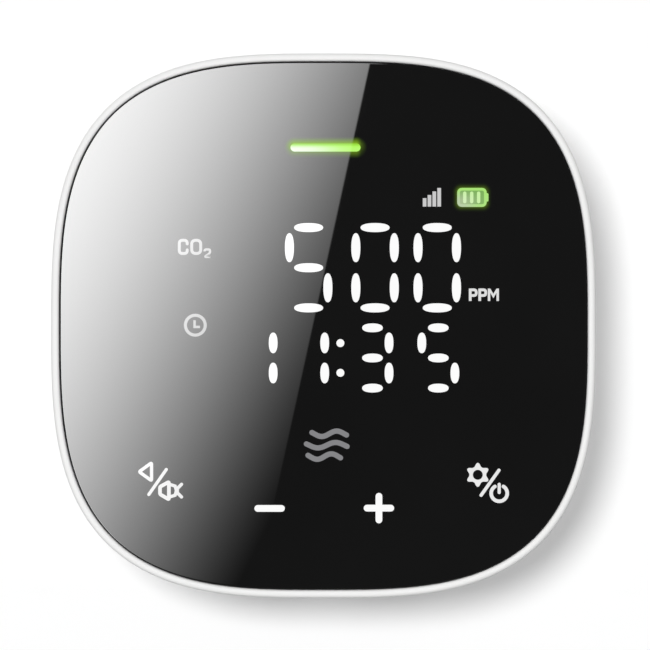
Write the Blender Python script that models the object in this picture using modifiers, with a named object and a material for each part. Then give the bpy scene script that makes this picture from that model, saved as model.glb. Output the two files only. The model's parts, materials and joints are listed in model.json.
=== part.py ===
"""Desk and wall carbon dioxide monitor, modelled as its separate parts.

Axes: +X to the right of the display, the display faces -Y, +Z up.
Origin: bottom centre of the whole case. Lengths are in metres.
The only moving part is the stand leg, which turns about the hinge pin.
"""

import math

import bmesh
import bpy
from mathutils import Matrix, Vector

MM = 0.001
GAP = 0.3 * MM

# Case: a superellipse outline, offset inwards or outwards from the glass edge
PANEL_HALF = 53.2 * MM
OUTLINE_POWER = 3.12
RIM = 1.8 * MM
CASE_HALF = PANEL_HALF + RIM
CENTRE_Z = CASE_HALF
OUTLINE_POINTS = 72
FRONT_Y = -13.5 * MM
BACK_Y = 13.5 * MM
WALL = 1.8 * MM
BACK_RADIUS = 6.0 * MM
BACK_STEPS = 5

# Glass and front frame
GLASS_BACK_Y = FRONT_Y + 2.0 * MM
FRAME_FRONT_Y = FRONT_Y + 0.2 * MM
RIM_EDGE = 0.6 * MM
GLASS_POCKET_INSET = RIM - 0.4 * MM
LEDGE_INSET = 9.5 * MM
LEDGE_FRONT_Y = -10.4 * MM
LEDGE_BACK_Y = -8.9 * MM
LIP_INSET = WALL + GAP
FRAME_INSIDE_INSET = LIP_INSET + 1.2 * MM
SPLIT_Y = -4.3 * MM
LIP_END_Y = -1.5 * MM

# Case screws and the bosses that take them
CASE_BOSS = 36.5 * MM
CASE_BOSS_RADIUS = 3.0 * MM
CASE_BOSS_END_Y = 7.1 * MM
SCREW_CUP_RADIUS = 4.6 * MM
SCREW_CUP_INNER_Y = 7.4 * MM
SCREW_SEAT_Y = 9.5 * MM

# Boards
DISPLAY_BOARD_Y = (-6.2 * MM, -4.6 * MM)
DISPLAY_BOARD_INSET = 5.0 * MM
MAIN_BOARD_Y = (1.5 * MM, 3.1 * MM)
MAIN_BOARD_INSET = 5.5 * MM
MAIN_BOARD_TOP_Z = 59.0 * MM
BOARD_POST = 47.0 * MM
MAIN_POSTS = (
    (-45.5 * MM, 55.0 * MM),
    (45.5 * MM, 55.0 * MM),
    (-24.0 * MM, 12.0 * MM),
    (24.0 * MM, 12.0 * MM),
)

# Display and touch keys
BIG_DIGIT_X = (-3.0 * MM, 10.4 * MM, 23.0 * MM)
BIG_DIGIT_Z = 66.8 * MM
SMALL_DIGIT_X = (-13.5 * MM, -3.1 * MM, 9.9 * MM, 23.2 * MM)
SMALL_DIGIT_Z = 48.5 * MM
LIGHT_BAR = (0.4 * MM, 91.05 * MM)
TOUCH_KEYS = {
    "sound": (-33.0 * MM, 23.7 * MM),
    "minus": (-10.9 * MM, 18.1 * MM),
    "plus": (11.2 * MM, 18.2 * MM),
    "settings": (33.2 * MM, 23.5 * MM),
}

# Stand leg and its recess in the back
HINGE_Y = 11.2 * MM
HINGE_Z = 14.0 * MM
LEG_LENGTH = 40.0 * MM
LEG_HALF_WIDTH = 13.5 * MM
LEG_Y = (10.6 * MM, 13.2 * MM)
KNUCKLE_RADIUS = 2.1 * MM
PIN_RADIUS = 1.0 * MM
PIN_HALF_LENGTH = 16.4 * MM
RECESS_HALF_WIDTH = 14.1 * MM
RECESS_FLOOR_Y = 8.8 * MM
RECESS_WALL = 1.6 * MM
RECESS_Z = (11.3 * MM, 54.7 * MM)
LEG_CORNER = 6.0 * MM

# Wall hanging and air openings in the back
KEYHOLE_X = 25.0 * MM
KEYHOLE_Z = 76.0 * MM
KEYHOLE_RADIUS = 4.0 * MM
KEYHOLE_SLOT_HALF = 2.1 * MM
KEYHOLE_RISE = 7.0 * MM
VENT_HALF_WIDTH = 0.9 * MM
VENT_PITCH = 4.0 * MM
SENSOR_X = 30.0 * MM
SENSOR_Z = 38.0 * MM
SIDE_VENT_HALF_HEIGHT = 10.0 * MM
TOP_VENT_Z = 94.0 * MM
TOP_VENT_HALF_HEIGHT = 4.0 * MM

# Socket in the right-hand side wall
SOCKET_Z = 34.0 * MM
SOCKET_X = (45.8 * MM, 53.1 * MM)
SOCKET_Y = (3.4 * MM, 6.6 * MM)
SOCKET_HALF_WIDTH = 4.5 * MM

# Feet on the lower back edge
FOOT_X = (5.0 * MM, 19.0 * MM)
FOOT_Y = (6.5 * MM, 12.0 * MM)
FOOT_DEPTH = 1.0 * MM


def clear_scene():
    for old in list(bpy.data.objects):
        bpy.data.objects.remove(old, do_unlink=True)


def make_collection(name):
    group = bpy.data.collections.new(name)
    bpy.context.scene.collection.children.link(group)
    return group


def material(name, colour, roughness, metallic=0.0):
    mat = bpy.data.materials.new(name)
    mat.use_nodes = True
    shader = mat.node_tree.nodes["Principled BSDF"]
    shader.inputs["Base Color"].default_value = (*colour, 1.0)
    shader.inputs["Roughness"].default_value = roughness
    shader.inputs["Metallic"].default_value = metallic
    return mat


clear_scene()
PARTS = make_collection("carbon_dioxide_monitor")
CUTTERS = make_collection("cutters")

WHITE = material("white_plastic", (0.86, 0.86, 0.85), 0.42)
GREY = material("grey_plastic", (0.30, 0.30, 0.31), 0.55)
BLACK_GLASS = material("black_glass", (0.010, 0.010, 0.011), 0.06)
BLACK = material("black_plastic", (0.02, 0.02, 0.02), 0.5)
MILKY = material("diffuser_film", (0.85, 0.87, 0.85), 0.5)
BOARD_GREEN = material("circuit_board", (0.02, 0.16, 0.07), 0.45)
STEEL = material("steel", (0.62, 0.62, 0.63), 0.28, metallic=1.0)
GOLD = material("gold_plate", (0.83, 0.62, 0.25), 0.25, metallic=1.0)
SILVER = material("cell_foil", (0.66, 0.67, 0.69), 0.35, metallic=0.9)
RUBBER = material("rubber", (0.10, 0.10, 0.105), 0.8)
FOAM = material("foam", (0.05, 0.05, 0.055), 0.95)
RED_WIRE = material("red_wire", (0.55, 0.02, 0.02), 0.5)


# ---------------------------------------------------------------- shapes

def outline(inset, y, count=OUTLINE_POINTS):
    """Points of the case outline, moved inwards by inset along its own normal."""
    points = []
    for i in range(count):
        turn = math.tau * i / count
        c, s = math.cos(turn), math.sin(turn)
        x = PANEL_HALF * math.copysign(abs(c) ** (2 / OUTLINE_POWER), c)
        z = PANEL_HALF * math.copysign(abs(s) ** (2 / OUTLINE_POWER), s)
        slope_x = math.copysign(abs(x / PANEL_HALF) ** (OUTLINE_POWER - 1), c)
        slope_z = math.copysign(abs(z / PANEL_HALF) ** (OUTLINE_POWER - 1), s)
        length = math.hypot(slope_x, slope_z)
        shift = RIM - inset
        points.append(Vector((x + shift * slope_x / length, y, CENTRE_Z + z + shift * slope_z / length)))
    return points


def circle(x, y, z, radius, count=16):
    turns = [math.tau * i / count for i in range(count)]
    return [Vector((x + radius * math.cos(t), y, z + radius * math.sin(t))) for t in turns]


def rounded_rectangle(x, y, z, half_x, half_z, radius, corner_points=4):
    """A flat outline facing Y, with its four corners rounded."""
    points = []
    for quarter, (sx, sz) in enumerate(((1, 1), (-1, 1), (-1, -1), (1, -1))):
        for i in range(corner_points):
            turn = math.pi / 2 * (quarter + i / (corner_points - 1))
            px = x + sx * (half_x - radius) + radius * math.cos(turn)
            pz = z + sz * (half_z - radius) + radius * math.sin(turn)
            points.append(Vector((px, y, pz)))
    return points


def stack(bm, sections):
    """A solid through flat sections with equal point counts, grown by extruding the end face."""
    start = bmesh.ops.create_circle(bm, cap_ends=True, radius=1.0, segments=len(sections[0]))
    face = start["verts"][0].link_faces[0]
    for vert, point in zip(face.verts, sections[0]):
        vert.co = point
    for level, section in enumerate(sections[1:]):
        grown = bmesh.ops.extrude_face_region(bm, geom=[face])
        if level > 0:
            bmesh.ops.delete(bm, geom=[face], context="FACES_ONLY")
        face = [item for item in grown["geom"] if isinstance(item, bmesh.types.BMFace)][0]
        for vert, point in zip(face.verts, section):
            vert.co = point


def add_box(bm, low, high):
    size = Vector(high) - Vector(low)
    middle = (Vector(high) + Vector(low)) / 2
    bmesh.ops.create_cube(bm, size=1.0, matrix=Matrix.Translation(middle) @ Matrix.Diagonal((*size, 1.0)))


def add_rod(bm, radius, start, end, count=16):
    """A cylinder between two points that differ in one coordinate."""
    way = Vector(end) - Vector(start)
    turn = way.to_track_quat("Z", "Y").to_matrix().to_4x4()
    place = Matrix.Translation((Vector(start) + Vector(end)) / 2) @ turn
    bmesh.ops.create_cone(
        bm, cap_ends=True, segments=count, radius1=radius, radius2=radius, depth=way.length, matrix=place
    )


def finish(bm, name, group, mat=None, pivot=None):
    """Turn the bmesh into an object whose origin is at the pivot."""
    bmesh.ops.recalc_face_normals(bm, faces=bm.faces)
    if pivot is None:
        corners = [vert.co for vert in bm.verts]
        pivot = sum(corners, Vector()) / len(corners)
    bmesh.ops.translate(bm, verts=bm.verts, vec=-Vector(pivot))
    mesh = bpy.data.meshes.new(name)
    bm.to_mesh(mesh)
    bm.free()
    mesh.shade_smooth()
    mesh.set_sharp_from_angle(angle=math.radians(35))
    made = bpy.data.objects.new(name, mesh)
    made.location = pivot
    group.objects.link(made)
    if mat:
        mesh.materials.append(mat)
    return made


def part(bm, name, mat, pivot=None):
    return finish(bm, name, PARTS, mat, pivot)


def change(target, bm, name, operation="DIFFERENCE"):
    """Cut the bmesh's bodies out of the target, or join them to it."""
    tool = finish(bm, name, CUTTERS)
    tool.hide_render = True
    tool.display_type = "WIRE"
    modifier = target.modifiers.new(name, "BOOLEAN")
    modifier.operation = operation
    modifier.solver = "EXACT"
    modifier.object = tool
    bpy.context.view_layer.update()


def bevel(target, width, segments=2, angle=40):
    modifier = target.modifiers.new("bevel", "BEVEL")
    modifier.width = width
    modifier.segments = segments
    modifier.limit_method = "ANGLE"
    modifier.angle_limit = math.radians(angle)


def slab(name, mat, low, high, width=0.0, segments=1):
    bm = bmesh.new()
    add_box(bm, low, high)
    made = part(bm, name, mat)
    if width:
        bevel(made, width, segments)
    return made


def wire(name, mat, points, radius, resolution=1):
    """A round wire along a polyline."""
    curve = bpy.data.curves.new(name, "CURVE")
    curve.dimensions = "3D"
    spline = curve.splines.new("POLY")
    spline.points.add(len(points) - 1)
    for knot, point in zip(spline.points, points):
        knot.co = (*point, 1.0)
    curve.bevel_depth = radius
    curve.bevel_resolution = resolution
    curve.use_fill_caps = True
    made = bpy.data.objects.new(name, curve)
    made.data.materials.append(mat)
    PARTS.objects.link(made)
    return made


def four_corners(half):
    return [(sx * half, CENTRE_Z + sz * half) for sx in (-1, 1) for sz in (-1, 1)]


def four_sides(half):
    return [(-half, CENTRE_Z), (half, CENTRE_Z), (0.0, CENTRE_Z - half), (0.0, CENTRE_Z + half)]


# ---------------------------------------------------------------- front

def front_panel():
    bm = bmesh.new()
    edge = 0.3 * MM
    stack(bm, [outline(RIM + edge, FRONT_Y), outline(RIM, FRONT_Y + edge), outline(RIM, GLASS_BACK_Y)])
    part(bm, "front_panel", BLACK_GLASS)


def panel_adhesive():
    y0, y1 = GLASS_BACK_Y + GAP, LEDGE_FRONT_Y - GAP
    bm = bmesh.new()
    stack(bm, [outline(RIM + 1.2 * MM, y0), outline(RIM + 1.2 * MM, y1)])
    ring = part(bm, "panel_adhesive", FOAM)
    hole = bmesh.new()
    stack(hole, [outline(LEDGE_INSET - 0.8 * MM, y0 - MM), outline(LEDGE_INSET - 0.8 * MM, y1 + MM)])
    change(ring, hole, "adhesive_opening")


def front_frame():
    bm = bmesh.new()
    stack(bm, [
        outline(RIM_EDGE, FRAME_FRONT_Y),
        outline(RIM_EDGE * 0.3, FRAME_FRONT_Y + RIM_EDGE * 0.3),
        outline(0.0, FRAME_FRONT_Y + RIM_EDGE),
        outline(0.0, SPLIT_Y),
        outline(LIP_INSET, SPLIT_Y),
        outline(LIP_INSET, LIP_END_Y),
    ])
    frame = part(bm, "front_frame", WHITE)

    inside = bmesh.new()
    stack(inside, [outline(FRAME_INSIDE_INSET, LEDGE_BACK_Y), outline(FRAME_INSIDE_INSET, LIP_END_Y + MM)])
    change(frame, inside, "frame_inside")
    pocket = bmesh.new()
    stack(pocket, [outline(GLASS_POCKET_INSET, FRONT_Y - MM), outline(GLASS_POCKET_INSET, LEDGE_FRONT_Y)])
    change(frame, pocket, "glass_pocket")
    window = bmesh.new()
    stack(window, [outline(LEDGE_INSET, LEDGE_FRONT_Y - MM), outline(LEDGE_INSET, LEDGE_BACK_Y + MM)])
    change(frame, window, "display_window")

    root_y = (LEDGE_FRONT_Y + LEDGE_BACK_Y) / 2
    posts = bmesh.new()
    for x, z in four_corners(CASE_BOSS):
        add_rod(posts, CASE_BOSS_RADIUS, (x, root_y, z), (x, CASE_BOSS_END_Y, z))
    for x, z in four_sides(BOARD_POST):
        add_rod(posts, 2.6 * MM, (x, root_y, z), (x, DISPLAY_BOARD_Y[0] - GAP, z), 12)
    change(frame, posts, "frame_posts", "UNION")

    bores = bmesh.new()
    for x, z in four_corners(CASE_BOSS):
        add_rod(bores, 1.6 * MM, (x, -4.0 * MM, z), (x, CASE_BOSS_END_Y + MM, z), 12)
    for x, z in four_sides(BOARD_POST):
        add_rod(bores, 1.3 * MM, (x, root_y, z), (x, DISPLAY_BOARD_Y[0], z), 10)
    change(frame, bores, "post_bores")


# ---------------------------------------------------------------- display

def display_housing():
    """The reflector block behind the glass, with an open well for each digit and symbol group."""
    y0, y1 = GLASS_BACK_Y + 1.1 * MM, DISPLAY_BOARD_Y[0] - GAP
    housing = slab("display_housing", GREY, (-32 * MM, y0, 39 * MM), (38 * MM, y1, 87 * MM))
    wells = bmesh.new()
    digits = [(x, BIG_DIGIT_Z, 5.4 * MM, 9.6 * MM) for x in BIG_DIGIT_X]
    digits += [(x, SMALL_DIGIT_Z, 4.4 * MM, 7.6 * MM) for x in SMALL_DIGIT_X]
    for x, z, half_x, half_z in digits:
        add_box(wells, (x - half_x, y0 - MM, z - half_z), (x + half_x, y1 + MM, z + half_z))
    add_box(wells, (2.6 * MM, y0 - MM, 43 * MM), (4.2 * MM, y1 + MM, 54 * MM))
    add_box(wells, (19.5 * MM, y0 - MM, 78.5 * MM), (34.5 * MM, y1 + MM, 83.5 * MM))
    add_box(wells, (29.0 * MM, y0 - MM, 59.5 * MM), (36.0 * MM, y1 + MM, 63.5 * MM))
    add_box(wells, (-30.0 * MM, y0 - MM, 67.5 * MM), (-22.0 * MM, y1 + MM, 74.0 * MM))
    add_box(wells, (-29.0 * MM, y0 - MM, 52.0 * MM), (-23.0 * MM, y1 + MM, 58.0 * MM))
    change(housing, wells, "display_wells")


def display_diffuser():
    y0 = GLASS_BACK_Y + 0.4 * MM
    slab("display_diffuser", MILKY, (-31 * MM, y0, 40 * MM), (37 * MM, y0 + 0.4 * MM, 86 * MM))


def light_guide():
    x, z = LIGHT_BAR
    bm = bmesh.new()
    half_x, half_z = 7.3 * MM, 1.1 * MM
    faces = [
        rounded_rectangle(x, y, z, half_x, half_z, half_z * 0.98, 5)
        for y in (GLASS_BACK_Y + 0.4 * MM, DISPLAY_BOARD_Y[0] - GAP)
    ]
    stack(bm, faces)
    part(bm, "light_guide", MILKY)


def touch_springs():
    """Coil electrodes that carry each touch key's field from the board to the glass."""
    radius, turns, step_count = 2.6 * MM, 3.5, 9
    y_start, y_end = DISPLAY_BOARD_Y[0] - 0.6 * MM, GLASS_BACK_Y + 0.6 * MM
    total = int(turns * step_count)
    for key, (x, z) in TOUCH_KEYS.items():
        coil = []
        for i in range(total + 1):
            turn = math.tau * i / step_count
            y = y_start + (y_end - y_start) * i / total
            coil.append((x + radius * math.cos(turn), y, z + radius * math.sin(turn)))
        wire(f"touch_spring_{key}", GOLD, coil, 0.25 * MM, 0)


def display_board():
    bm = bmesh.new()
    stack(bm, [outline(DISPLAY_BOARD_INSET, y) for y in DISPLAY_BOARD_Y])
    board = part(bm, "display_board", BOARD_GREEN)
    holes = bmesh.new()
    y0, y1 = DISPLAY_BOARD_Y[0] - MM, DISPLAY_BOARD_Y[1] + MM
    for x, z in four_corners(CASE_BOSS):
        add_rod(holes, CASE_BOSS_RADIUS + 0.4 * MM, (x, y0, z), (x, y1, z), 16)
    for x, z in four_sides(BOARD_POST):
        add_rod(holes, 1.3 * MM, (x, y0, z), (x, y1, z), 10)
    change(board, holes, "display_board_holes")


def pan_screw(name, x, z, seat_y, head_radius, head_height, shank_radius, shank_end_y, count):
    """A turned screw whose head sits on seat_y and whose shank ends at shank_end_y."""
    way = 1.0 if seat_y > shank_end_y else -1.0
    under = seat_y + way * 0.1 * MM
    crown = under + way * head_height
    rings = (
        (shank_end_y, shank_radius * 0.5),
        (shank_end_y + way * shank_radius, shank_radius),
        (under, shank_radius),
        (under, head_radius),
        (crown - way * head_height * 0.4, head_radius),
        (crown, head_radius * 0.75),
    )
    bm = bmesh.new()
    stack(bm, [circle(x, y, z, radius, count) for y, radius in rings])
    return part(bm, name, STEEL)


def cross_recess(screw, x, z, crown_y, depth, arm):
    """Sink a cross for the driver into a screw's crown, which faces +Y."""
    half = arm * 0.24
    corners = ((arm, half), (half, half), (half, arm), (-half, arm), (-half, half), (-arm, half))
    corners += tuple((-px, -pz) for px, pz in corners)
    depths = (crown_y - depth, crown_y + MM)
    cross = bmesh.new()
    stack(cross, [[Vector((x + px, y, z + pz)) for px, pz in corners] for y in depths])
    change(screw, cross, f"{screw.name}_cross")


def display_board_screws():
    for i, (x, z) in enumerate(four_sides(BOARD_POST), 1):
        pan_screw(
            f"display_board_screw_{i}", x, z, DISPLAY_BOARD_Y[1] + GAP,
            2.0 * MM, 1.1 * MM, 1.0 * MM, -9.0 * MM, 10,
        )


# ---------------------------------------------------------------- main board and what it carries

def main_board():
    bm = bmesh.new()
    stack(bm, [outline(MAIN_BOARD_INSET, y) for y in MAIN_BOARD_Y])
    board = part(bm, "main_board", BOARD_GREEN)
    y0, y1 = MAIN_BOARD_Y[0] - MM, MAIN_BOARD_Y[1] + MM
    upper = bmesh.new()
    add_box(upper, (-60 * MM, y0, MAIN_BOARD_TOP_Z), (60 * MM, y1, 120 * MM))
    change(board, upper, "main_board_top")
    holes = bmesh.new()
    for sx in (-1, 1):
        x, z = sx * CASE_BOSS, CENTRE_Z - CASE_BOSS
        add_rod(holes, CASE_BOSS_RADIUS + 0.4 * MM, (x, y0, z), (x, y1, z), 16)
    for x, z in MAIN_POSTS:
        add_rod(holes, 1.3 * MM, (x, y0, z), (x, y1, z), 10)
    change(board, holes, "main_board_holes")
    for i, (x, z) in enumerate(MAIN_POSTS, 1):
        pan_screw(
            f"main_board_screw_{i}", x, z, MAIN_BOARD_Y[0] - GAP, 2.0 * MM, 1.1 * MM, 1.0 * MM, 9.0 * MM, 10
        )


def board_connector():
    low_y, high_y = DISPLAY_BOARD_Y[1] + GAP, MAIN_BOARD_Y[0] - GAP
    slab("board_connector", BLACK, (-12 * MM, low_y, 46 * MM), (12 * MM, high_y, 51 * MM), 0.3 * MM)


def co2_sensor():
    seat = MAIN_BOARD_Y[1] + GAP
    slab(
        "co2_sensor_board", BOARD_GREEN,
        (SENSOR_X - 11 * MM, seat, SENSOR_Z - 15 * MM),
        (SENSOR_X + 11 * MM, seat + 1.0 * MM, SENSOR_Z + 15 * MM),
    )
    y0, y1 = seat + 1.3 * MM, 10.0 * MM
    cell = slab(
        "co2_sensor_cell", GOLD, (SENSOR_X - 9 * MM, y0, SENSOR_Z - 13.5 * MM),
        (SENSOR_X + 9 * MM, y1, SENSOR_Z + 13.5 * MM), 1.2 * MM, 2,
    )
    inlets = bmesh.new()
    for sx in (-1, 1):
        for sz in (-1, 0, 1):
            x, z = SENSOR_X + sx * 4.5 * MM, SENSOR_Z + sz * 7.5 * MM
            add_rod(inlets, 1.3 * MM, (x, y1 - 0.8 * MM, z), (x, y1 + MM, z), 10)
    change(cell, inlets, "cell_inlets")

    bm = bmesh.new()
    wall_y = BACK_Y - WALL
    ring_y = (y1 + GAP, wall_y - GAP)
    stack(bm, [rounded_rectangle(SENSOR_X, y, SENSOR_Z, 11.5 * MM, 13.5 * MM, 2 * MM) for y in ring_y])
    ring = part(bm, "sensor_foam_seal", FOAM)
    hole = bmesh.new()
    hole_y = (ring_y[0] - MM, ring_y[1] + MM)
    stack(hole, [rounded_rectangle(SENSOR_X, y, SENSOR_Z, 9.7 * MM, 11.5 * MM, 1.5 * MM) for y in hole_y])
    change(ring, hole, "seal_opening")


def wireless_module():
    seat = MAIN_BOARD_Y[1] + GAP
    low, high = (-41 * MM, seat, 24 * MM), (-23 * MM, seat + 0.8 * MM, 45 * MM)
    module = slab("wireless_module", BOARD_GREEN, low, high)
    can = bmesh.new()
    add_box(can, (-40 * MM, seat + 0.4 * MM, 25 * MM), (-24 * MM, seat + 3.0 * MM, 39 * MM))
    change(module, can, "module_can", "UNION")


def buzzer():
    seat = MAIN_BOARD_Y[1] + GAP
    x, z, radius, height = -34.0 * MM, 52.5 * MM, 4.8 * MM, 5.0 * MM
    bm = bmesh.new()
    rings = ((seat, radius), (seat + height - 0.5 * MM, radius), (seat + height, radius - 0.5 * MM))
    stack(bm, [circle(x, y, z, r, 20) for y, r in rings])
    made = part(bm, "buzzer", BLACK)
    hole = bmesh.new()
    add_rod(hole, 1.0 * MM, (x, seat + height - 1.2 * MM, z), (x, seat + height + MM, z), 10)
    change(made, hole, "buzzer_sound_hole")


def socket_outline(x, margin):
    """An upright outline with round ends, facing X, larger than the socket by the margin."""
    half_width = (SOCKET_Y[1] - SOCKET_Y[0]) / 2 + margin
    half_height = SOCKET_HALF_WIDTH + margin
    flat = rounded_rectangle(0.0, 0.0, SOCKET_Z, half_width, half_height, half_width * 0.98, 5)
    turn = Matrix.Rotation(math.pi / 2, 4, "Z")
    return [turn @ point + Vector((x, sum(SOCKET_Y) / 2, 0.0)) for point in flat]


def usb_socket():
    """The charging socket: a rounded metal shell with a contact tongue inside."""
    bm = bmesh.new()
    stack(bm, [socket_outline(x, 0.0) for x in SOCKET_X])
    socket = part(bm, "usb_socket", STEEL)
    cavity = bmesh.new()
    skin = 0.35 * MM
    cavity_x = (SOCKET_X[0] + 1.2 * MM, SOCKET_X[1] + MM)
    stack(cavity, [socket_outline(x, -skin) for x in cavity_x])
    change(socket, cavity, "socket_cavity")
    tongue = bmesh.new()
    mid_y = sum(SOCKET_Y) / 2
    add_box(
        tongue, (SOCKET_X[0] + 0.6 * MM, mid_y - 0.35 * MM, SOCKET_Z - 3.3 * MM),
        (SOCKET_X[1] - 0.8 * MM, mid_y + 0.35 * MM, SOCKET_Z + 3.3 * MM),
    )
    change(socket, tongue, "socket_tongue", "UNION")


def battery():
    slab("battery", SILVER, (-26 * MM, 0.0, 62 * MM), (26 * MM, 6 * MM, 94 * MM), 1.6 * MM, 3)
    slab("battery_foam", FOAM, (-16 * MM, 6.3 * MM, 66 * MM), (16 * MM, 11.4 * MM, 86 * MM), 0.6 * MM)
    plug_x, plug_z = -20.5 * MM, 55.5 * MM
    low = (plug_x - 3.5 * MM, MAIN_BOARD_Y[1] + GAP, plug_z - 2.5 * MM)
    high = (plug_x + 3.5 * MM, MAIN_BOARD_Y[1] + GAP + 3.2 * MM, plug_z + 2.5 * MM)
    slab("battery_plug", MILKY, low, high, 0.3 * MM)
    for name, mat, side in (("battery_wire_positive", RED_WIRE, 1), ("battery_wire_negative", BLACK, -1)):
        x = plug_x + side * 1.2 * MM
        start, end = Vector((x, 3.0 * MM, 61.5 * MM)), Vector((x, 5.2 * MM, 58.4 * MM))
        path = []
        for i in range(7):
            share = i / 6
            bow = math.sin(math.pi * share)
            path.append(start.lerp(end, share) + Vector((side * 0.5 * MM * bow, 1.6 * MM * bow, 0.0)))
        wire(name, mat, path, 0.6 * MM)


# ---------------------------------------------------------------- back

def back_shell_sections(inset, front_y, back_y, radius):
    """Sections of a body whose back edge is rounded, from its open front to its flat back."""
    sections = [outline(inset, front_y)]
    for i in range(BACK_STEPS + 1):
        turn = math.pi / 2 * i / BACK_STEPS
        y = back_y - radius + radius * math.sin(turn)
        sections.append(outline(inset + radius * (1 - math.cos(turn)), y))
    return sections


def upright_slot(x, y, z, half_width, half_height):
    return rounded_rectangle(x, y, z, half_width, half_height, half_width * 0.98, 3)


def keyhole_outline(x, y):
    """A round opening with a narrow slot above it."""
    bottom = math.asin(KEYHOLE_SLOT_HALF / KEYHOLE_RADIUS)
    points = []
    for i in range(13):
        turn = math.pi / 2 + bottom + (math.tau - 2 * bottom) * i / 12
        px = x + KEYHOLE_RADIUS * math.cos(turn)
        points.append(Vector((px, y, KEYHOLE_Z + KEYHOLE_RADIUS * math.sin(turn))))
    for i in range(6):
        turn = math.pi * i / 5
        px = x + KEYHOLE_SLOT_HALF * math.cos(turn)
        points.append(Vector((px, y, KEYHOLE_Z + KEYHOLE_RISE + KEYHOLE_SLOT_HALF * math.sin(turn))))
    return points


def leg_outline(y, half_width, low_z, high_z):
    """A plate with a square lower end and a rounded upper end."""
    points = [Vector((-half_width, y, low_z)), Vector((half_width, y, low_z))]
    for sx, first in ((1, 0.0), (-1, math.pi / 2)):
        for i in range(6):
            turn = first + math.pi / 2 * i / 5
            px = sx * (half_width - LEG_CORNER) + LEG_CORNER * math.cos(turn)
            points.append(Vector((px, y, high_z - LEG_CORNER + LEG_CORNER * math.sin(turn))))
    return points


def foot_region(margin):
    """A box around one foot on each side, larger by the margin."""
    bm = bmesh.new()
    for sx in (-1, 1):
        x0, x1 = sorted((sx * (FOOT_X[0] - margin), sx * (FOOT_X[1] + margin)))
        add_box(bm, (x0, FOOT_Y[0] - margin, -2 * MM), (x1, FOOT_Y[1] + margin, 3.4 * MM + margin))
    return bm


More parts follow.
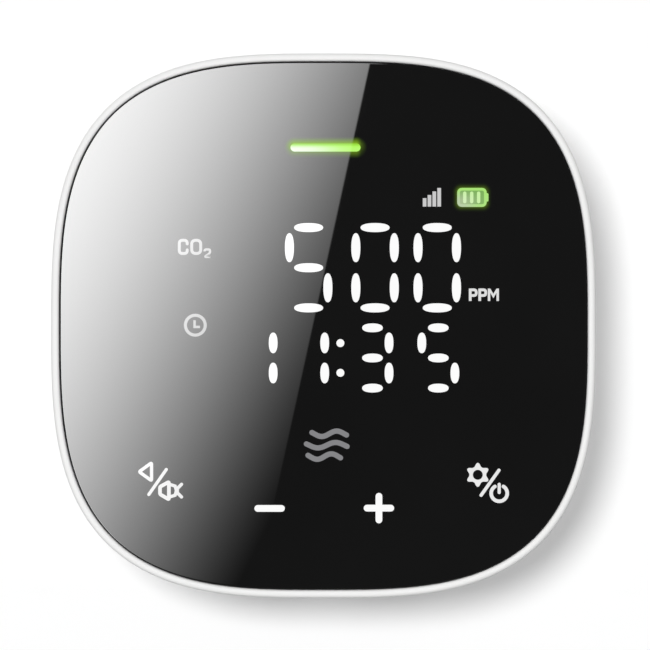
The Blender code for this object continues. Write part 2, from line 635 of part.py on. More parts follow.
def rear_cover():
    bm = bmesh.new()
    stack(bm, back_shell_sections(0.0, SPLIT_Y + GAP, BACK_Y, BACK_RADIUS))
    cover = part(bm, "rear_cover", WHITE)
    inside = bmesh.new()
    stack(inside, back_shell_sections(WALL, SPLIT_Y - MM, BACK_Y - WALL, BACK_RADIUS - WALL))
    change(cover, inside, "cover_inside")

    root_y = BACK_Y - WALL / 2
    recess_inner_y = RECESS_FLOOR_Y - RECESS_WALL
    solids = bmesh.new()
    wide = RECESS_HALF_WIDTH + RECESS_WALL
    add_box(
        solids, (-wide, recess_inner_y, RECESS_Z[0] - RECESS_WALL), (wide, root_y, RECESS_Z[1] + 7.5 * MM)
    )
    for sx in (-1, 1):
        x = sx * KEYHOLE_X
        add_box(solids, (x - 6.4 * MM, recess_inner_y, 69.5 * MM), (x + 6.4 * MM, root_y, 88.5 * MM))
    for x, z in four_corners(CASE_BOSS):
        add_rod(solids, SCREW_CUP_RADIUS, (x, SCREW_CUP_INNER_Y, z), (x, root_y, z), 20)
    for x, z in MAIN_POSTS:
        add_rod(solids, 2.5 * MM, (x, MAIN_BOARD_Y[1] + GAP, z), (x, root_y, z), 12)
    change(cover, solids, "cover_solids", "UNION")

    recess = bmesh.new()
    sections = [leg_outline(y, RECESS_HALF_WIDTH, *RECESS_Z) for y in (RECESS_FLOOR_Y, BACK_Y + MM)]
    stack(recess, sections)
    change(cover, recess, "leg_recess")
    scoop = bmesh.new()
    floor = circle(0.0, RECESS_FLOOR_Y + 1.4 * MM, RECESS_Z[1], 4.0 * MM, 20)
    mouth = circle(0.0, BACK_Y + MM, RECESS_Z[1], 7.0 * MM, 20)
    stack(scoop, [floor, mouth])
    change(cover, scoop, "finger_scoop")
    bore = bmesh.new()
    add_rod(bore, PIN_RADIUS + GAP, (-20 * MM, HINGE_Y, HINGE_Z), (20 * MM, HINGE_Y, HINGE_Z))
    change(cover, bore, "hinge_bore")

    hanging = bmesh.new()
    for sx in (-1, 1):
        x = sx * KEYHOLE_X
        low = (x - 5.0 * MM, RECESS_FLOOR_Y, 70.9 * MM)
        add_box(hanging, low, (x + 5.0 * MM, BACK_Y - WALL, 87.1 * MM))
    change(cover, hanging, "keyhole_pockets")
    keyholes = bmesh.new()
    for sx in (-1, 1):
        stack(keyholes, [keyhole_outline(sx * KEYHOLE_X, y) for y in (BACK_Y - 2 * WALL, BACK_Y + MM)])
    change(cover, keyholes, "keyhole_openings")

    seats = bmesh.new()
    for x, z in four_corners(CASE_BOSS):
        add_rod(seats, 3.0 * MM, (x, SCREW_SEAT_Y, z), (x, BACK_Y + MM, z), 20)
    change(cover, seats, "screw_seats")
    bores = bmesh.new()
    for x, z in four_corners(CASE_BOSS):
        add_rod(bores, 1.7 * MM, (x, SCREW_CUP_INNER_Y - MM, z), (x, SCREW_SEAT_Y + MM, z), 12)
    for x, z in MAIN_POSTS:
        add_rod(bores, 1.3 * MM, (x, MAIN_BOARD_Y[1], z), (x, 10.0 * MM, z), 10)
    change(cover, bores, "cover_bores")

    vents = bmesh.new()
    vent_y = (BACK_Y - 2 * WALL, BACK_Y + MM)
    tall, short = SIDE_VENT_HALF_HEIGHT, TOP_VENT_HALF_HEIGHT
    for i in range(-2, 3):
        for sx in (-1, 1):
            x = sx * SENSOR_X + i * VENT_PITCH
            stack(vents, [upright_slot(x, y, SENSOR_Z, VENT_HALF_WIDTH, tall) for y in vent_y])
    for i in range(-4, 5):
        x = i * VENT_PITCH
        stack(vents, [upright_slot(x, y, TOP_VENT_Z, VENT_HALF_WIDTH, short) for y in vent_y])
    change(cover, vents, "air_vents")

    opening = bmesh.new()
    stack(opening, [socket_outline(x, GAP) for x in (50 * MM, 57 * MM)])
    change(cover, opening, "socket_opening")

    feet = foot_region(GAP)
    pockets = finish(feet, "foot_pockets", CUTTERS)
    pockets.hide_render = True
    pockets.display_type = "WIRE"
    depth = FOOT_DEPTH + GAP
    core = bmesh.new()
    stack(core, back_shell_sections(depth, SPLIT_Y, BACK_Y - depth, BACK_RADIUS - FOOT_DEPTH))
    change(pockets, core, "foot_pocket_core")
    cut = cover.modifiers.new("foot_pockets", "BOOLEAN")
    cut.operation = "DIFFERENCE"
    cut.solver = "EXACT"
    cut.object = pockets


def feet():
    """Soft pads let into the rounded lower back edge, flush with the case."""
    for name, sx in (("foot_pad_left", -1), ("foot_pad_right", 1)):
        x0, x1 = sorted((sx * FOOT_X[0], sx * FOOT_X[1]))
        pad = slab(name, RUBBER, (x0, FOOT_Y[0], -2 * MM), (x1, FOOT_Y[1], 3.4 * MM))
        outer = bmesh.new()
        stack(outer, back_shell_sections(0.0, SPLIT_Y, BACK_Y, BACK_RADIUS))
        change(pad, outer, f"{name}_outer", "INTERSECT")
        core = bmesh.new()
        stack(core, back_shell_sections(FOOT_DEPTH, SPLIT_Y, BACK_Y - FOOT_DEPTH, BACK_RADIUS - FOOT_DEPTH))
        change(pad, core, f"{name}_core")


def case_screws():
    seat_y, height = SCREW_SEAT_Y + 0.2 * MM, 1.6 * MM
    for i, (x, z) in enumerate(four_corners(CASE_BOSS), 1):
        screw = pan_screw(f"case_screw_{i}", x, z, seat_y, 2.5 * MM, height, 1.3 * MM, -2.0 * MM, 14)
        cross_recess(screw, x, z, seat_y + height, 0.9 * MM, 1.4 * MM)


# ---------------------------------------------------------------- stand leg, turning about the hinge pin

def stand_leg():
    pivot = (0.0, HINGE_Y, HINGE_Z)
    bm = bmesh.new()
    stack(bm, [leg_outline(y, LEG_HALF_WIDTH, HINGE_Z, HINGE_Z + LEG_LENGTH) for y in LEG_Y])
    leg = part(bm, "stand_leg", WHITE, pivot)
    extra = bmesh.new()
    add_rod(
        extra, KNUCKLE_RADIUS, (-LEG_HALF_WIDTH - 0.05 * MM, HINGE_Y, HINGE_Z),
        (LEG_HALF_WIDTH + 0.05 * MM, HINGE_Y, HINGE_Z), 24,
    )
    change(leg, extra, "leg_knuckle", "UNION")
    ribs = bmesh.new()
    for x in (-8.0 * MM, 8.0 * MM):
        low = (x - 0.6 * MM, 9.2 * MM, HINGE_Z + 3 * MM)
        add_box(ribs, low, (x + 0.6 * MM, 11.2 * MM, HINGE_Z + 35 * MM))
    change(leg, ribs, "leg_ribs", "UNION")
    bore = bmesh.new()
    add_rod(bore, PIN_RADIUS + GAP, (-20 * MM, HINGE_Y, HINGE_Z), (20 * MM, HINGE_Y, HINGE_Z))
    change(leg, bore, "leg_bore")
    seat = bmesh.new()
    stack(seat, [
        rounded_rectangle(0.0, y, HINGE_Z + 35.5 * MM, 8.3 * MM, 2.1 * MM, 1.2 * MM)
        for y in (12.2 * MM, BACK_Y + MM)
    ])
    change(leg, seat, "leg_pad_seat")

    pad = bmesh.new()
    stack(pad, [
        rounded_rectangle(0.0, y, HINGE_Z + 35.5 * MM, 8.0 * MM, 1.8 * MM, 1.0 * MM)
        for y in (12.5 * MM, 13.4 * MM)
    ])
    part(pad, "leg_pad", RUBBER, pivot)

    pin = bmesh.new()
    add_rod(pin, PIN_RADIUS, (-PIN_HALF_LENGTH, HINGE_Y, HINGE_Z), (PIN_HALF_LENGTH, HINGE_Y, HINGE_Z), 20)
    part(pin, "hinge_pin", STEEL, pivot)


front_panel()
panel_adhesive()
front_frame()
display_housing()
display_diffuser()
light_guide()
touch_springs()
display_board()
display_board_screws()
main_board()
board_connector()
co2_sensor()
wireless_module()
buzzer()
usb_socket()
battery()
rear_cover()
feet()
case_screws()
stand_leg()
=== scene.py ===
"""Looks of the carbon dioxide monitor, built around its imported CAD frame.

Everything is in metres in the frame's own coordinates: +X right, the display faces -Y, +Z up.
Marks on the panel are laid out in millimetres from the panel's centre, X to the right and Z up.
"""

import json
from functools import partial
from math import asin, atan2, copysign, cos, degrees, hypot, pi, radians, sin, tau

import bmesh
import bpy
from mathutils import Matrix, Vector


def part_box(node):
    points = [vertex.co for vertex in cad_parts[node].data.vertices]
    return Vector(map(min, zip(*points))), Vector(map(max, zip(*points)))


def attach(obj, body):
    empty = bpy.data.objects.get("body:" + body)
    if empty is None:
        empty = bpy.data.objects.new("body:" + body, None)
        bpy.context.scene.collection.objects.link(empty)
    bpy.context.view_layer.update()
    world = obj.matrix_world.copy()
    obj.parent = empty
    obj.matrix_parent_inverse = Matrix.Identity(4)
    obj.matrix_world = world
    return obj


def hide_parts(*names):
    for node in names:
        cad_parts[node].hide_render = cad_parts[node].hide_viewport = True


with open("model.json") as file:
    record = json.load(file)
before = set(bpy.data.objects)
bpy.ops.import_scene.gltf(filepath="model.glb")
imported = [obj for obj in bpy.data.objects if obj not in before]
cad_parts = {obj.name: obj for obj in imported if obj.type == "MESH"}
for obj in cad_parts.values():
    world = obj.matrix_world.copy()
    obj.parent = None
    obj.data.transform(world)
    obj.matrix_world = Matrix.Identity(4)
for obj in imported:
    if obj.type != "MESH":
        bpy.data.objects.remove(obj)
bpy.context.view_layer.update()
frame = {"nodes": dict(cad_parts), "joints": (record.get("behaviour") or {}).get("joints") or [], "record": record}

MM = 0.001
NODES = frame["nodes"]

# -------- sizes taken from the frame

PANEL_LOW, PANEL_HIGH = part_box("front_panel")
FRAME_LOW, FRAME_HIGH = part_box("front_frame")
COVER_LOW, COVER_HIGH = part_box("rear_cover")
LEG_LOW, LEG_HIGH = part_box("stand_leg")
PAD_LOW, PAD_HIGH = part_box("leg_pad")
SOCKET_LOW, SOCKET_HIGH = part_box("usb_socket")
FOOT_LOW, FOOT_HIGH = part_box("foot_pad_right")
PIN_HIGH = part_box("hinge_pin")[1]
HINGE = Vector(frame["joints"][0]["pos_m"])

PANEL_HALF = (PANEL_HIGH.x - PANEL_LOW.x) / 2
CASE_HALF = (FRAME_HIGH.x - FRAME_LOW.x) / 2
RIM = CASE_HALF - PANEL_HALF
CENTRE_Z = (PANEL_HIGH.z + PANEL_LOW.z) / 2
CENTRE = Vector((0.0, 0.0, CENTRE_Z))
FRONT_Y = PANEL_LOW.y
GLASS_BACK_Y = PANEL_HIGH.y
FRAME_FRONT_Y = FRAME_LOW.y
COVER_FRONT_Y = COVER_LOW.y
BACK_Y = COVER_HIGH.y

# -------- sizes shared by several pieces

OUTLINE_POWER = 3.12
OUTLINE_POINTS = 240
GAP = 0.3 * MM
SOFT_EDGE = 0.3 * MM
SHARP_ANGLE = radians(35)
FLAT_FACE_CORNERS = 6


# -------- shape helpers

def full_turn(count):
    """Evenly spread angles once round."""
    return [tau * i / count for i in range(count)]


def power_curve(turn, power):
    """A point of the superellipse with half widths of 1."""
    c, s = cos(turn), sin(turn)
    return copysign(abs(c) ** (2 / power), c), copysign(abs(s) ** (2 / power), s)


def outline(inset, y):
    """The case outline in the plane y, moved inwards by inset along its own normal."""
    points = []
    for turn in full_turn(OUTLINE_POINTS):
        x, z = power_curve(turn, OUTLINE_POWER)
        slope_x = copysign(abs(x) ** (OUTLINE_POWER - 1), x)
        slope_z = copysign(abs(z) ** (OUTLINE_POWER - 1), z)
        shift = (RIM - inset) / hypot(slope_x, slope_z)
        point_x = PANEL_HALF * x + shift * slope_x
        points.append(Vector((point_x, y, CENTRE_Z + PANEL_HALF * z + shift * slope_z)))
    return points


def circle(x, y, z, radius, count=40):
    return [Vector((x + radius * cos(t), y, z + radius * sin(t))) for t in full_turn(count)]


def rounded_rectangle(x, y, z, half_x, half_z, radius, corner_points=8):
    points = []
    for quarter, (sx, sz) in enumerate(((1, 1), (-1, 1), (-1, -1), (1, -1))):
        for i in range(corner_points):
            turn = pi / 2 * (quarter + i / (corner_points - 1))
            px = x + sx * (half_x - radius) + radius * cos(turn)
            pz = z + sz * (half_z - radius) + radius * sin(turn)
            points.append(Vector((px, y, pz)))
    return points


def loft(bm, sections, closed=False):
    """Quads through sections of equal point counts, capped at both ends or closed into a ring."""
    rings = [[bm.verts.new(point) for point in section] for section in sections]
    count = len(rings[0])
    pairs = list(zip(rings, rings[1:]))
    if closed:
        pairs.append((rings[-1], rings[0]))
    for low, high in pairs:
        for i in range(count):
            j = (i + 1) % count
            bm.faces.new((low[i], low[j], high[j], high[i]))
    if not closed:
        bm.faces.new(rings[0])
        bm.faces.new(list(reversed(rings[-1])))


def add_box(bm, low, high):
    size = Vector(high) - Vector(low)
    middle = (Vector(high) + Vector(low)) / 2
    bmesh.ops.create_cube(bm, size=1.0, matrix=Matrix.Translation(middle) @ Matrix.Diagonal((*size, 1.0)))


def add_rod(bm, radius, start, end, count=32):
    way = Vector(end) - Vector(start)
    turn = way.to_track_quat("Z", "Y").to_matrix().to_4x4()
    place = Matrix.Translation((Vector(start) + Vector(end)) / 2) @ turn
    bmesh.ops.create_cone(
        bm, cap_ends=True, segments=count, radius1=radius, radius2=radius, depth=way.length, matrix=place
    )


def sharpen(mesh):
    """Keep strong bends sharp, and shade faces with many corners, which are all flat, as flat."""
    mesh.set_sharp_from_angle(angle=SHARP_ANGLE)
    if "sharp_edge" in mesh.attributes:
        sharp_edges = mesh.attributes["sharp_edge"].data
    else:
        sharp_edges = mesh.attributes.new("sharp_edge", "BOOLEAN", "EDGE").data
    for face in mesh.polygons:
        if face.loop_total > FLAT_FACE_CORNERS:
            for loop_index in face.loop_indices:
                sharp_edges[mesh.loops[loop_index].edge_index].value = True


def as_object(bm, name, mat=None):
    """Turn the bmesh into a smooth-shaded object in the scene."""
    bmesh.ops.recalc_face_normals(bm, faces=bm.faces)
    mesh = bpy.data.meshes.new(name)
    bm.to_mesh(mesh)
    bm.free()
    mesh.shade_smooth()
    sharpen(mesh)
    made = bpy.data.objects.new(name, mesh)
    bpy.context.scene.collection.objects.link(made)
    if mat:
        mesh.materials.append(mat)
    return made


def lofted(name, mat, sections, closed=False):
    bm = bmesh.new()
    loft(bm, sections, closed)
    return as_object(bm, name, mat)


def bodies(*section_lists):
    """A bmesh with one body for each list of sections."""
    bm = bmesh.new()
    for sections in section_lists:
        loft(bm, sections)
    return bm


def combine(target, bm, operation="DIFFERENCE", use_self=False):
    """Cut the bodies in bm out of the target, or join them to it, and keep the resulting mesh."""
    tool = as_object(bm, f"{target.name}_tool")
    modifier = target.modifiers.new("combine", "BOOLEAN")
    modifier.operation = operation
    modifier.solver = "EXACT"
    modifier.use_self = use_self
    modifier.object = tool
    bpy.context.view_layer.update()
    evaluated = target.evaluated_get(bpy.context.evaluated_depsgraph_get())
    mesh = bpy.data.meshes.new_from_object(evaluated)
    target.modifiers.clear()
    old = target.data
    target.data = mesh
    bpy.data.meshes.remove(old)
    bpy.data.objects.remove(tool)
    mesh.name = target.name
    sharpen(mesh)


def soften_edges(made, width, angle):
    soften = made.modifiers.new("soft_edges", "BEVEL")
    soften.width = width
    soften.segments = 3
    soften.limit_method = "ANGLE"
    soften.angle_limit = radians(angle)


def own(made, body, slot, *nodes):
    """Say which body a piece rides on and which CAD nodes it stands for, and hide those nodes; slot, its finish,
    is not used.
    """
    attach(made, body)
    if nodes:
        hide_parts(*nodes)


def quarter_arc(radius, steps=8):
    """Pairs (sideways, deep) of a quarter circle that starts upright at (0, 0) and turns outwards."""
    turns = [pi / 2 * i / steps for i in range(steps + 1)]
    return [(radius * (1 - cos(turn)), radius * sin(turn)) for turn in turns]


def flared(section, bottom_y, mouth_y, radius=SOFT_EDGE):
    """Sections of a hole whose mouth is rounded over; section(y, growth) gives its outline."""
    sections = [section(bottom_y, 0.0)]
    sections += [section(mouth_y - radius + deep, growth) for growth, deep in quarter_arc(radius)]
    sections.append(section(mouth_y + MM, radius))
    return sections


def rounded_plate(section, low_y, high_y, radius=SOFT_EDGE):
    """Sections of a plate with both faces' edges rounded; section(y, growth) gives its outline."""
    arc_points = quarter_arc(radius)
    front = [section(low_y + radius - deep, -growth) for growth, deep in reversed(arc_points)]
    back = [section(high_y - radius + deep, -growth) for growth, deep in arc_points]
    return front + back


def at(x, z):
    """A place on the panel, given in millimetres from its centre."""
    return x * MM, CENTRE_Z + z * MM


# -------- node helpers

def feed(source, socket):
    """Link a node's output to the socket, or set the socket to a number, a colour or a vector."""
    if isinstance(source, bpy.types.NodeSocket):
        socket.id_data.links.new(source, socket)
    elif socket.type == "RGBA":
        socket.default_value = (*source, 1.0)
    else:
        socket.default_value = source


def wire(made, **inputs):
    """Feed the node's inputs, whose names are given with underscores for spaces."""
    for name, source in inputs.items():
        feed(source, made.inputs[name.replace("_", " ")])
    return made


def node(tree, kind, **inputs):
    return wire(tree.nodes.new(f"ShaderNode{kind}"), **inputs)


def coordinates(tree, kind="Object"):
    return node(tree, "TexCoord").outputs[kind]


def geometry(tree, kind):
    return node(tree, "NewGeometry").outputs[kind]


def separated(vector):
    """The vector's X, Y and Z, by name."""
    return node(vector.id_data, "SeparateXYZ", Vector=vector).outputs


def remap(value, from_min, from_max, to_min=0.0, to_max=1.0, smooth=False):
    limits = {"From_Min": from_min, "From_Max": from_max, "To_Min": to_min, "To_Max": to_max}
    made = node(value.id_data, "MapRange", Value=value, **limits)
    made.interpolation_type = "SMOOTHSTEP" if smooth else "LINEAR"
    return made.outputs["Result"]


def mix(factor, a, b, kind="RGBA"):
    """The value a where the factor is 0 and b where it is 1, which are colours or, with FLOAT, numbers."""
    made = node(factor.id_data, "Mix")
    made.data_type = kind
    sockets = [socket for socket in made.inputs if socket.enabled]
    for socket, source in zip(sockets, (factor, a, b)):
        feed(source, socket)
    return [socket for socket in made.outputs if socket.enabled][0]


def maths(operation, *terms, clamp=False):
    """A calculation with sockets and numbers, in the node tree of the first socket."""
    tree = next(term.id_data for term in terms if isinstance(term, bpy.types.NodeSocket))
    made = node(tree, "Math")
    made.operation = operation
    made.use_clamp = clamp
    for term, socket in zip(terms, made.inputs):
        feed(term, socket)
    return made.outputs[0]


def noise(tree, scale, detail=4.0, stretch=None):
    """A 0 to 1 cloud pattern fixed to the object, with scale in waves a metre."""
    place = coordinates(tree)
    if stretch:
        place = node(tree, "Mapping", Vector=place, Scale=stretch).outputs["Vector"]
    return node(tree, "TexNoise", Vector=place, Scale=scale, Detail=detail).outputs["Fac"]


def clouds(pattern, low=0.0, high=1.0):
    """The pattern's middle range spread over the levels from low to high."""
    return remap(pattern, 0.3, 0.7, low, high)


def relief(shader, height, strength, depth):
    bump = node(shader.id_data, "Bump", Height=height, Strength=strength, Distance=depth)
    wire(shader, Normal=bump.outputs["Normal"])


# -------- materials

WEAR_REACH = 0.5 * MM
WEAR_LIKENESS = (0.995, 0.8)
GLASS_ROUGHNESS = (0.004, 0.009)
GLASS_GLOSS = 0.5
SIDE_GLOSS = 0.05
UNDER_GLASS = (0.005, 0.005, 0.005)
HALO_COLOUR = (0.34, 0.64, 0.02)
LIGHT_BAR = (0.40, 35.97)
LIGHT_BAR_SIZE = (14.14, 1.64)
BATTERY = (29.95, 25.9)
BATTERY_SIZE = (5.95, 3.84)


def principled(name):
    mat = bpy.data.materials.new(name)
    mat.use_nodes = True
    return mat, mat.node_tree, mat.node_tree.nodes["Principled BSDF"]


def shaded(colour, share):
    return tuple(min(1.0, channel * share) for channel in colour)


def edge_wear(tree):
    """A mask that is 1 on edges and fades to 0 a short way from them."""
    rounded = node(tree, "Bevel", Radius=WEAR_REACH)
    rounded.samples = 4
    likeness = node(tree, "VectorMath")
    likeness.operation = "DOT_PRODUCT"
    feed(rounded.outputs["Normal"], likeness.inputs[0])
    feed(geometry(tree, "Normal"), likeness.inputs[1])
    return remap(likeness.outputs["Value"], *WEAR_LIKENESS)


def moulded(name, colour, roughness=(0.38, 0.5), grain=2600.0, depth=0.02 * MM, tint=0.03):
    """A moulded surface: cloudy colour, fine grain, and edges that handling has rubbed paler."""
    mat, tree, shader = principled(name)
    body = mix(clouds(noise(tree, 60.0)), shaded(colour, 1 - tint), colour)
    worn = mix(edge_wear(tree), body, shaded(colour, 1 + tint))
    wire(shader, Base_Color=worn, Roughness=clouds(noise(tree, 240.0), *roughness))
    relief(shader, noise(tree, grain, 2.0), 0.25, depth)
    return mat


def plated(name, colour, roughness=(0.22, 0.4)):
    """Plated metal with drawn streaks and a slight mottling."""
    mat, tree, shader = principled(name)
    mottled = mix(clouds(noise(tree, 700.0)), shaded(colour, 0.8), colour)
    streaks = noise(tree, 900.0, 3.0, (1.0, 12.0, 1.0))
    wire(shader, Base_Color=mottled, Metallic=1.0, Roughness=clouds(streaks, *roughness))
    relief(shader, streaks, 0.15, 0.01 * MM)
    return mat


def polish(tree):
    """The roughness of the glass, with faint handling marks."""
    return clouds(noise(tree, 90.0, 6.0), *GLASS_ROUGHNESS)


def halo(tree, centre, size, corner, reach, fall):
    """Light that scatters in the glass around a lit shape: 1 at its edge and 0 beyond the reach."""
    place = separated(coordinates(tree))
    squares = []
    for axis, middle, length in zip("XZ", at(*centre), size):
        away = maths("ABSOLUTE", maths("SUBTRACT", place[axis], middle))
        beyond = maths("MAXIMUM", maths("SUBTRACT", away, (length / 2 - corner) * MM), 0.0)
        squares.append(maths("MULTIPLY", beyond, beyond))
    distance = maths("SQRT", maths("ADD", *squares))
    return maths("POWER", remap(distance, (corner + reach) * MM, corner * MM), fall)


def light_bar_halo(tree):
    """The light bar's halo: strongest above the bar, and weak past its right end."""
    place = separated(coordinates(tree))
    x, z = at(*LIGHT_BAR)
    end = x + LIGHT_BAR_SIZE[0] / 2 * MM
    above = remap(place["Z"], z - 0.8 * MM, z + 0.8 * MM, 0.32, 0.68)
    before_end = remap(place["X"], end - 0.8 * MM, end + 0.2 * MM, 1.0, 0.30)
    glow = halo(tree, LIGHT_BAR, LIGHT_BAR_SIZE, LIGHT_BAR_SIZE[1] / 2, 1.4, 1.5)
    return maths("MULTIPLY", glow, maths("MULTIPLY", above, before_end))


def black_glass():
    """Polished glass over black print, with halos round the green lights.

    A halo takes the place of what the glass mirrors there. The glass is glossy on its flat face only.
    """
    mat, tree, shader = principled("black_glass")
    darkest, palest = (0.0070, 0.0070, 0.0070), (0.0080, 0.0080, 0.0080)
    print_colour = mix(clouds(noise(tree, 35.0)), darkest, palest)
    battery_halo = maths("MULTIPLY", halo(tree, BATTERY, BATTERY_SIZE, 0.8, 1.3, 3.0), 0.16)
    glow = maths("ADD", light_bar_halo(tree), battery_halo)
    facing = maths("ABSOLUTE", separated(geometry(tree, "Normal"))["Y"])
    gloss = remap(facing, 0.80, 0.99, SIDE_GLOSS, GLASS_GLOSS)
    gloss = maths("MULTIPLY", gloss, maths("SUBTRACT", 1.0, glow))
    wire(shader, Base_Color=print_colour, Roughness=polish(tree), IOR=1.5, Specular_IOR_Level=gloss)
    wire(shader, Emission_Color=HALO_COLOUR, Emission_Strength=glow)
    return mat


def lit(name, colour, dimmest=0.94):
    """A lit window under the glass: nearly even light, with the gloss of the glass over it."""
    mat, tree, shader = principled(name)
    light = mix(clouds(noise(tree, 500.0)), shaded(colour, dimmest), colour)
    wire(shader, Base_Color=UNDER_GLASS, Roughness=polish(tree), Emission_Color=light, Emission_Strength=1.0)
    return mat


def uneven_light(name, centre, size, far_colour, near_colour, top=1.0):
    """A lit window whose light turns from one colour at its upper right to another at its lower left.

    The light at the window's upper edge is dimmed to the share top.
    """
    mat, tree, shader = principled(name)
    place = separated(coordinates(tree))
    x, z = at(*centre)
    half_x, half_z = size[0] / 2 * MM, size[1] / 2 * MM
    lower = remap(place["Z"], z + half_z, z - half_z * 0.4, smooth=True)
    left = remap(place["X"], x + half_x * 0.8, x - half_x * 0.8, 0.15, 1.0, smooth=True)
    cloud = clouds(noise(tree, 500.0), 0.92, 1.0)
    light = mix(maths("MULTIPLY", maths("MULTIPLY", lower, left), cloud), far_colour, near_colour)
    strength = remap(place["Z"], z + half_z, z + half_z * 0.2, top, 1.0)
    wire(shader, Base_Color=UNDER_GLASS, Roughness=polish(tree), Specular_IOR_Level=0.2)
    wire(shader, Emission_Color=light, Emission_Strength=strength)
    return mat


def battery_light(name, far_colour, near_colour):
    return uneven_light(name, BATTERY, BATTERY_SIZE, far_colour, near_colour)


WHITE_PLASTIC = moulded("white_plastic", (0.86, 0.86, 0.855))
GREY_PLASTIC = moulded("grey_plastic", (0.30, 0.30, 0.31), tint=0.08)
BLACK_PLASTIC = moulded("black_plastic", (0.02, 0.02, 0.021), tint=0.3)
DIFFUSER = moulded("diffuser_film", (0.80, 0.82, 0.80), (0.3, 0.45))
CIRCUIT_BOARD = moulded("circuit_board", (0.02, 0.16, 0.07), (0.25, 0.45), 1500.0, 0.03 * MM, 0.35)
RED_WIRE = moulded("red_wire", (0.50, 0.02, 0.02), (0.35, 0.5), tint=0.15)
RUBBER = moulded("rubber", (0.22, 0.22, 0.225), (0.65, 0.85), 1800.0, 0.05 * MM, 0.08)
FOAM = moulded("foam", (0.045, 0.045, 0.05), (0.85, 1.0), 900.0, 0.2 * MM, 0.3)
STEEL = plated("steel", (0.62, 0.62, 0.63))
GOLD = plated("gold_plate", (0.85, 0.62, 0.28))
CELL_FOIL = plated("cell_foil", (0.66, 0.67, 0.69), (0.3, 0.5))
GLASS = black_glass()
LIT_WHITE = lit("lit_white", (0.98, 0.98, 0.98), 0.98)
LIT_MARK = lit("lit_mark", (0.84, 0.84, 0.84))
LIT_UNIT = lit("lit_unit", (0.76, 0.76, 0.76))
LIT_SIGNAL = lit("lit_signal", (0.61, 0.61, 0.61))
LIT_SOFT = lit("lit_soft", (0.43, 0.43, 0.43))
LIT_GREY = lit("lit_grey", (0.24, 0.24, 0.25))
LIT_BAR = uneven_light("lit_bar", LIGHT_BAR, LIGHT_BAR_SIZE, (0.42, 0.95, 0.06), (0.86, 1.0, 0.80), 0.66)
LIT_BATTERY = battery_light("lit_battery", (0.40, 0.78, 0.18), (0.50, 0.62, 0.40))
LIT_BATTERY_BARS = battery_light("lit_battery_bars", (0.58, 0.88, 0.36), (0.66, 0.86, 0.50))
LIT_BATTERY_FIELD = battery_light("lit_battery_field", (0.20, 0.43, 0.10), (0.40, 0.53, 0.29))

SLOT_MATERIALS = {
    "white_plastic": WHITE_PLASTIC, "grey_plastic": GREY_PLASTIC, "black_plastic": BLACK_PLASTIC,
    "black_glass": GLASS, "display_light": DIFFUSER, "green_light": DIFFUSER, "circuit_board": CIRCUIT_BOARD,
    "steel": STEEL, "gold_plate": GOLD, "cell_foil": CELL_FOIL, "rubber": RUBBER, "foam": FOAM,
    "red_wire": RED_WIRE,
}


def paint_frame_nodes():
    """Give every carried-over node the finish of its slot."""
    for entry in frame["record"]["subparts"]:
        mesh = NODES[entry["node"]].data
        mesh.materials.clear()
        mesh.materials.append(SLOT_MATERIALS[entry["material_slot"]])


# -------- case front

def glass_panel():
    edge, back_edge = 0.08 * MM, 0.15 * MM
    sections = [outline(RIM + edge + 0.2 * MM, FRONT_Y)]
    sections += [outline(RIM + growth, FRONT_Y + edge - deep) for growth, deep in reversed(quarter_arc(edge))]
    sections += [outline(RIM, GLASS_BACK_Y - back_edge), outline(RIM + back_edge, GLASS_BACK_Y)]
    own(lofted("glass_panel", GLASS, sections), "case", "black_glass", "front_panel")


def bezel():
    """The white front frame: rim, ledge under the glass, side wall and locating lip, as one section."""
    round_out, round_in, round_back = 0.8 * MM, 0.6 * MM, 0.25 * MM
    inner_stretch = 1.1
    glass_gap = 0.14 * MM
    pocket = RIM - glass_gap
    ledge_front, ledge_back, ledge = -10.4 * MM, -8.9 * MM, 9.5 * MM
    inside, lip, lip_end = 3.3 * MM, 2.1 * MM, -1.5 * MM
    split_y = COVER_FRONT_Y - GAP
    profile = []
    for growth, deep in quarter_arc(round_in, 12):
        profile.append((pocket - growth, FRAME_FRONT_Y + inner_stretch * (round_in - deep)))
    outer_arc = reversed(quarter_arc(round_out, 10))
    profile += [(growth, FRAME_FRONT_Y + round_out - deep) for growth, deep in outer_arc]
    profile.append((0.0, FRAME_FRONT_Y + 2.5 * MM))
    profile += [(growth, split_y - round_back + deep) for growth, deep in quarter_arc(round_back, 4)]
    profile += [(lip, split_y), (lip, lip_end), (inside, lip_end), (inside, ledge_back), (ledge, ledge_back)]
    profile += [(ledge, ledge_front), (pocket, ledge_front)]
    sections = [outline(inset, y) for inset, y in profile]
    own(lofted("bezel", WHITE_PLASTIC, sections, closed=True), "case", "white_plastic", "front_frame")


# -------- windows and symbols on the panel

PRINT_RISE = 0.03 * MM
PRINT_BACK_Y, PRINT_FRONT_Y = FRONT_Y + PRINT_RISE, FRONT_Y - PRINT_RISE


def on_panel(points, y):
    return [Vector((x * MM, y, CENTRE_Z + z * MM)) for x, z in points]


# A shape is a list of sections, and whether they close into a ring

def window(points, front_y=PRINT_FRONT_Y):
    """A shape: a thin raised window with the given outline."""
    return [on_panel(points, PRINT_BACK_Y), on_panel(points, front_y)], False


def window_ring(inner, outer):
    """A shape: a thin raised window between two outlines."""
    corners = ((inner, PRINT_BACK_Y), (inner, PRINT_FRONT_Y), (outer, PRINT_FRONT_Y), (outer, PRINT_BACK_Y))
    return [on_panel(points, y) for points, y in corners], True


def superellipse(x, z, half_x, half_z, power=2.25, count=36):
    unit = [power_curve(turn, power) for turn in full_turn(count)]
    return [(x + half_x * ux, z + half_z * uz) for ux, uz in unit]


